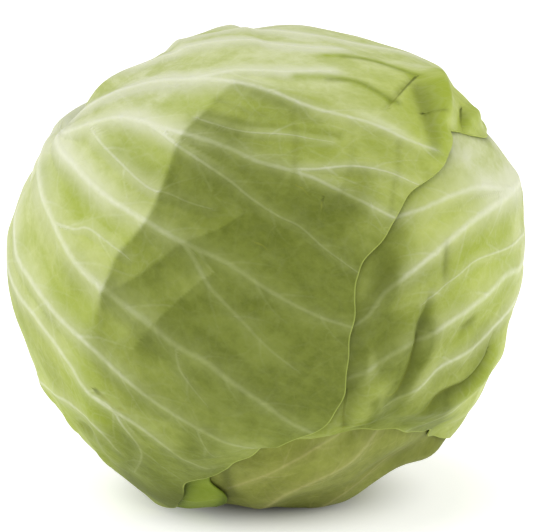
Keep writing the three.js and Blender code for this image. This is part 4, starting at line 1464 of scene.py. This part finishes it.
def stalk_finish():
    """Cream woody stalk: fibres along its side, and on the cut face a darker ring under the
    skin, pale pith with rays, and the brown that a dried cut has."""
    finish = Finish("stalk_wood", STALK_WOOD)
    place = finish.node("ShaderNodeTexCoord", {}, {}, 3)
    grain = finish.noise(place, 420.0, 5.0, 0.65)
    blotch = finish.noise(place, 90.0, 4.0, 0.6)
    cut, out = finish.field("cut"), finish.field("out")
    side = finish.mix(blotch, srgb(206, 208, 150), srgb(176, 176, 112))
    face = finish.mix(grain, srgb(224, 214, 170), srgb(196, 176, 124))
    ring = finish.step(0.62, 0.74, out) * finish.step(0.94, 0.84, out)
    face = finish.mix(ring * 0.5, face, srgb(168, 146, 92))
    face = finish.mix(finish.step(0.5, 0.72, blotch) * 0.5, face, srgb(150, 118, 72))
    finish.feed("Base Color", finish.mix(cut, side, face))
    finish.feed("Normal", finish.bump(grain * 0.7 + blotch * 0.5, 0.0008))
    return finish.material


def plain_floor():
    """A wide white sheet for the head to lie on, glowing evenly but for the middle, where a
    painted shadow fades the glow to black round the place the head rests."""
    mesh = bpy.data.meshes.new("floor")
    corners = [(FLOOR_HALF * x, FLOOR_HALF * y, 0) for x, y in ((-1, -1), (1, -1), (1, 1), (-1, 1))]
    mesh.from_pydata(corners, [], [(0, 1, 2, 3)])
    floor = add_object("floor", mesh)
    paper = Finish("white_paper", WHITE_PAPER)
    place = paper.node("ShaderNodeTexCoord", {}, {}, 3)
    away = paper.vector("LENGTH", {"Vector": place}, 1)
    # Painted shadow: the glow fades out near the middle, under the head
    paper.feed("Emission Color", paper.mix(paper.step(0.018, 0.062, away), (0, 0, 0, 1), (1, 1, 1, 1)))
    mesh.materials.append(paper.material)


def turn_to_head(holder, place):
    """Puts a lamp or a camera at a place and turns it to the head."""
    holder.location = place
    holder.rotation_euler = (Vector(AIM) - Vector(place)).to_track_quat("-Z", "Y").to_euler()


def lamp(name, kind, place, power, softness, wide):
    """A light turned to the head from a place, with how wide it is for its softness."""
    light = bpy.data.lights.new(name, kind)
    light.energy = power
    setattr(light, softness, wide)
    turn_to_head(add_object(name, light), place)


def studio():
    """White surroundings, a very soft light from above, a soft box on each side, and the camera
    a little above the head."""
    world = bpy.data.worlds.new("white_room")
    bpy.context.scene.world = world
    world.use_nodes = True
    background = world.node_tree.nodes["Background"].inputs
    background["Color"].default_value = (1, 1, 1, 1)
    background["Strength"].default_value = 0.34
    lamp("top", "SUN", (-0.3, -0.05, 1.0), 1.9, "angle", np.radians(70))
    lamp("left_box", "AREA", (-1.0, -0.35, 0.45), 2, "size", 0.7)
    lamp("right_box", "AREA", (1.0, -0.2, 0.5), 4, "size", 0.7)

    camera = bpy.data.cameras.new("camera")
    camera.sensor_width = 36
    camera.lens = camera.sensor_width * FOCAL_PIXELS / IMAGE_WIDTH
    holder = add_object("camera", camera)
    away = VIEW_DISTANCE * np.array([0, -np.cos(VIEW_HEIGHT), np.sin(VIEW_HEIGHT)])
    turn_to_head(holder, np.array(AIM) + away)
    bpy.context.scene.camera = holder
    bpy.context.scene.view_settings.view_transform = "Standard"


# The blades from the inside out: leaf and seed, grid points along a side, slot and skin
BLADES = [
    (6, 135, "inner_leaf", "inner_leaf_skin"),
    (5, 135, "inner_leaf", "inner_leaf_skin"),
    (4, 195, "outer_leaf", "lower_leaf_skin"),
    (3, 150, "outer_leaf", "leaf_tip_skin"),
    (2, 276, "outer_leaf", "outer_leaf_skin"),
    (1, 288, "outer_leaf", "outer_leaf_skin"),
]
skins = {name: leaf_finish(name) for name in SKIN_TONES}
for leaf, (number, side, slot, skin) in zip(LEAVES, BLADES):
    leaf_piece(leaf, side, skins[skin], number)
heart_piece(heart_finish())
stalk_piece(stalk_finish())
plain_floor()
studio()
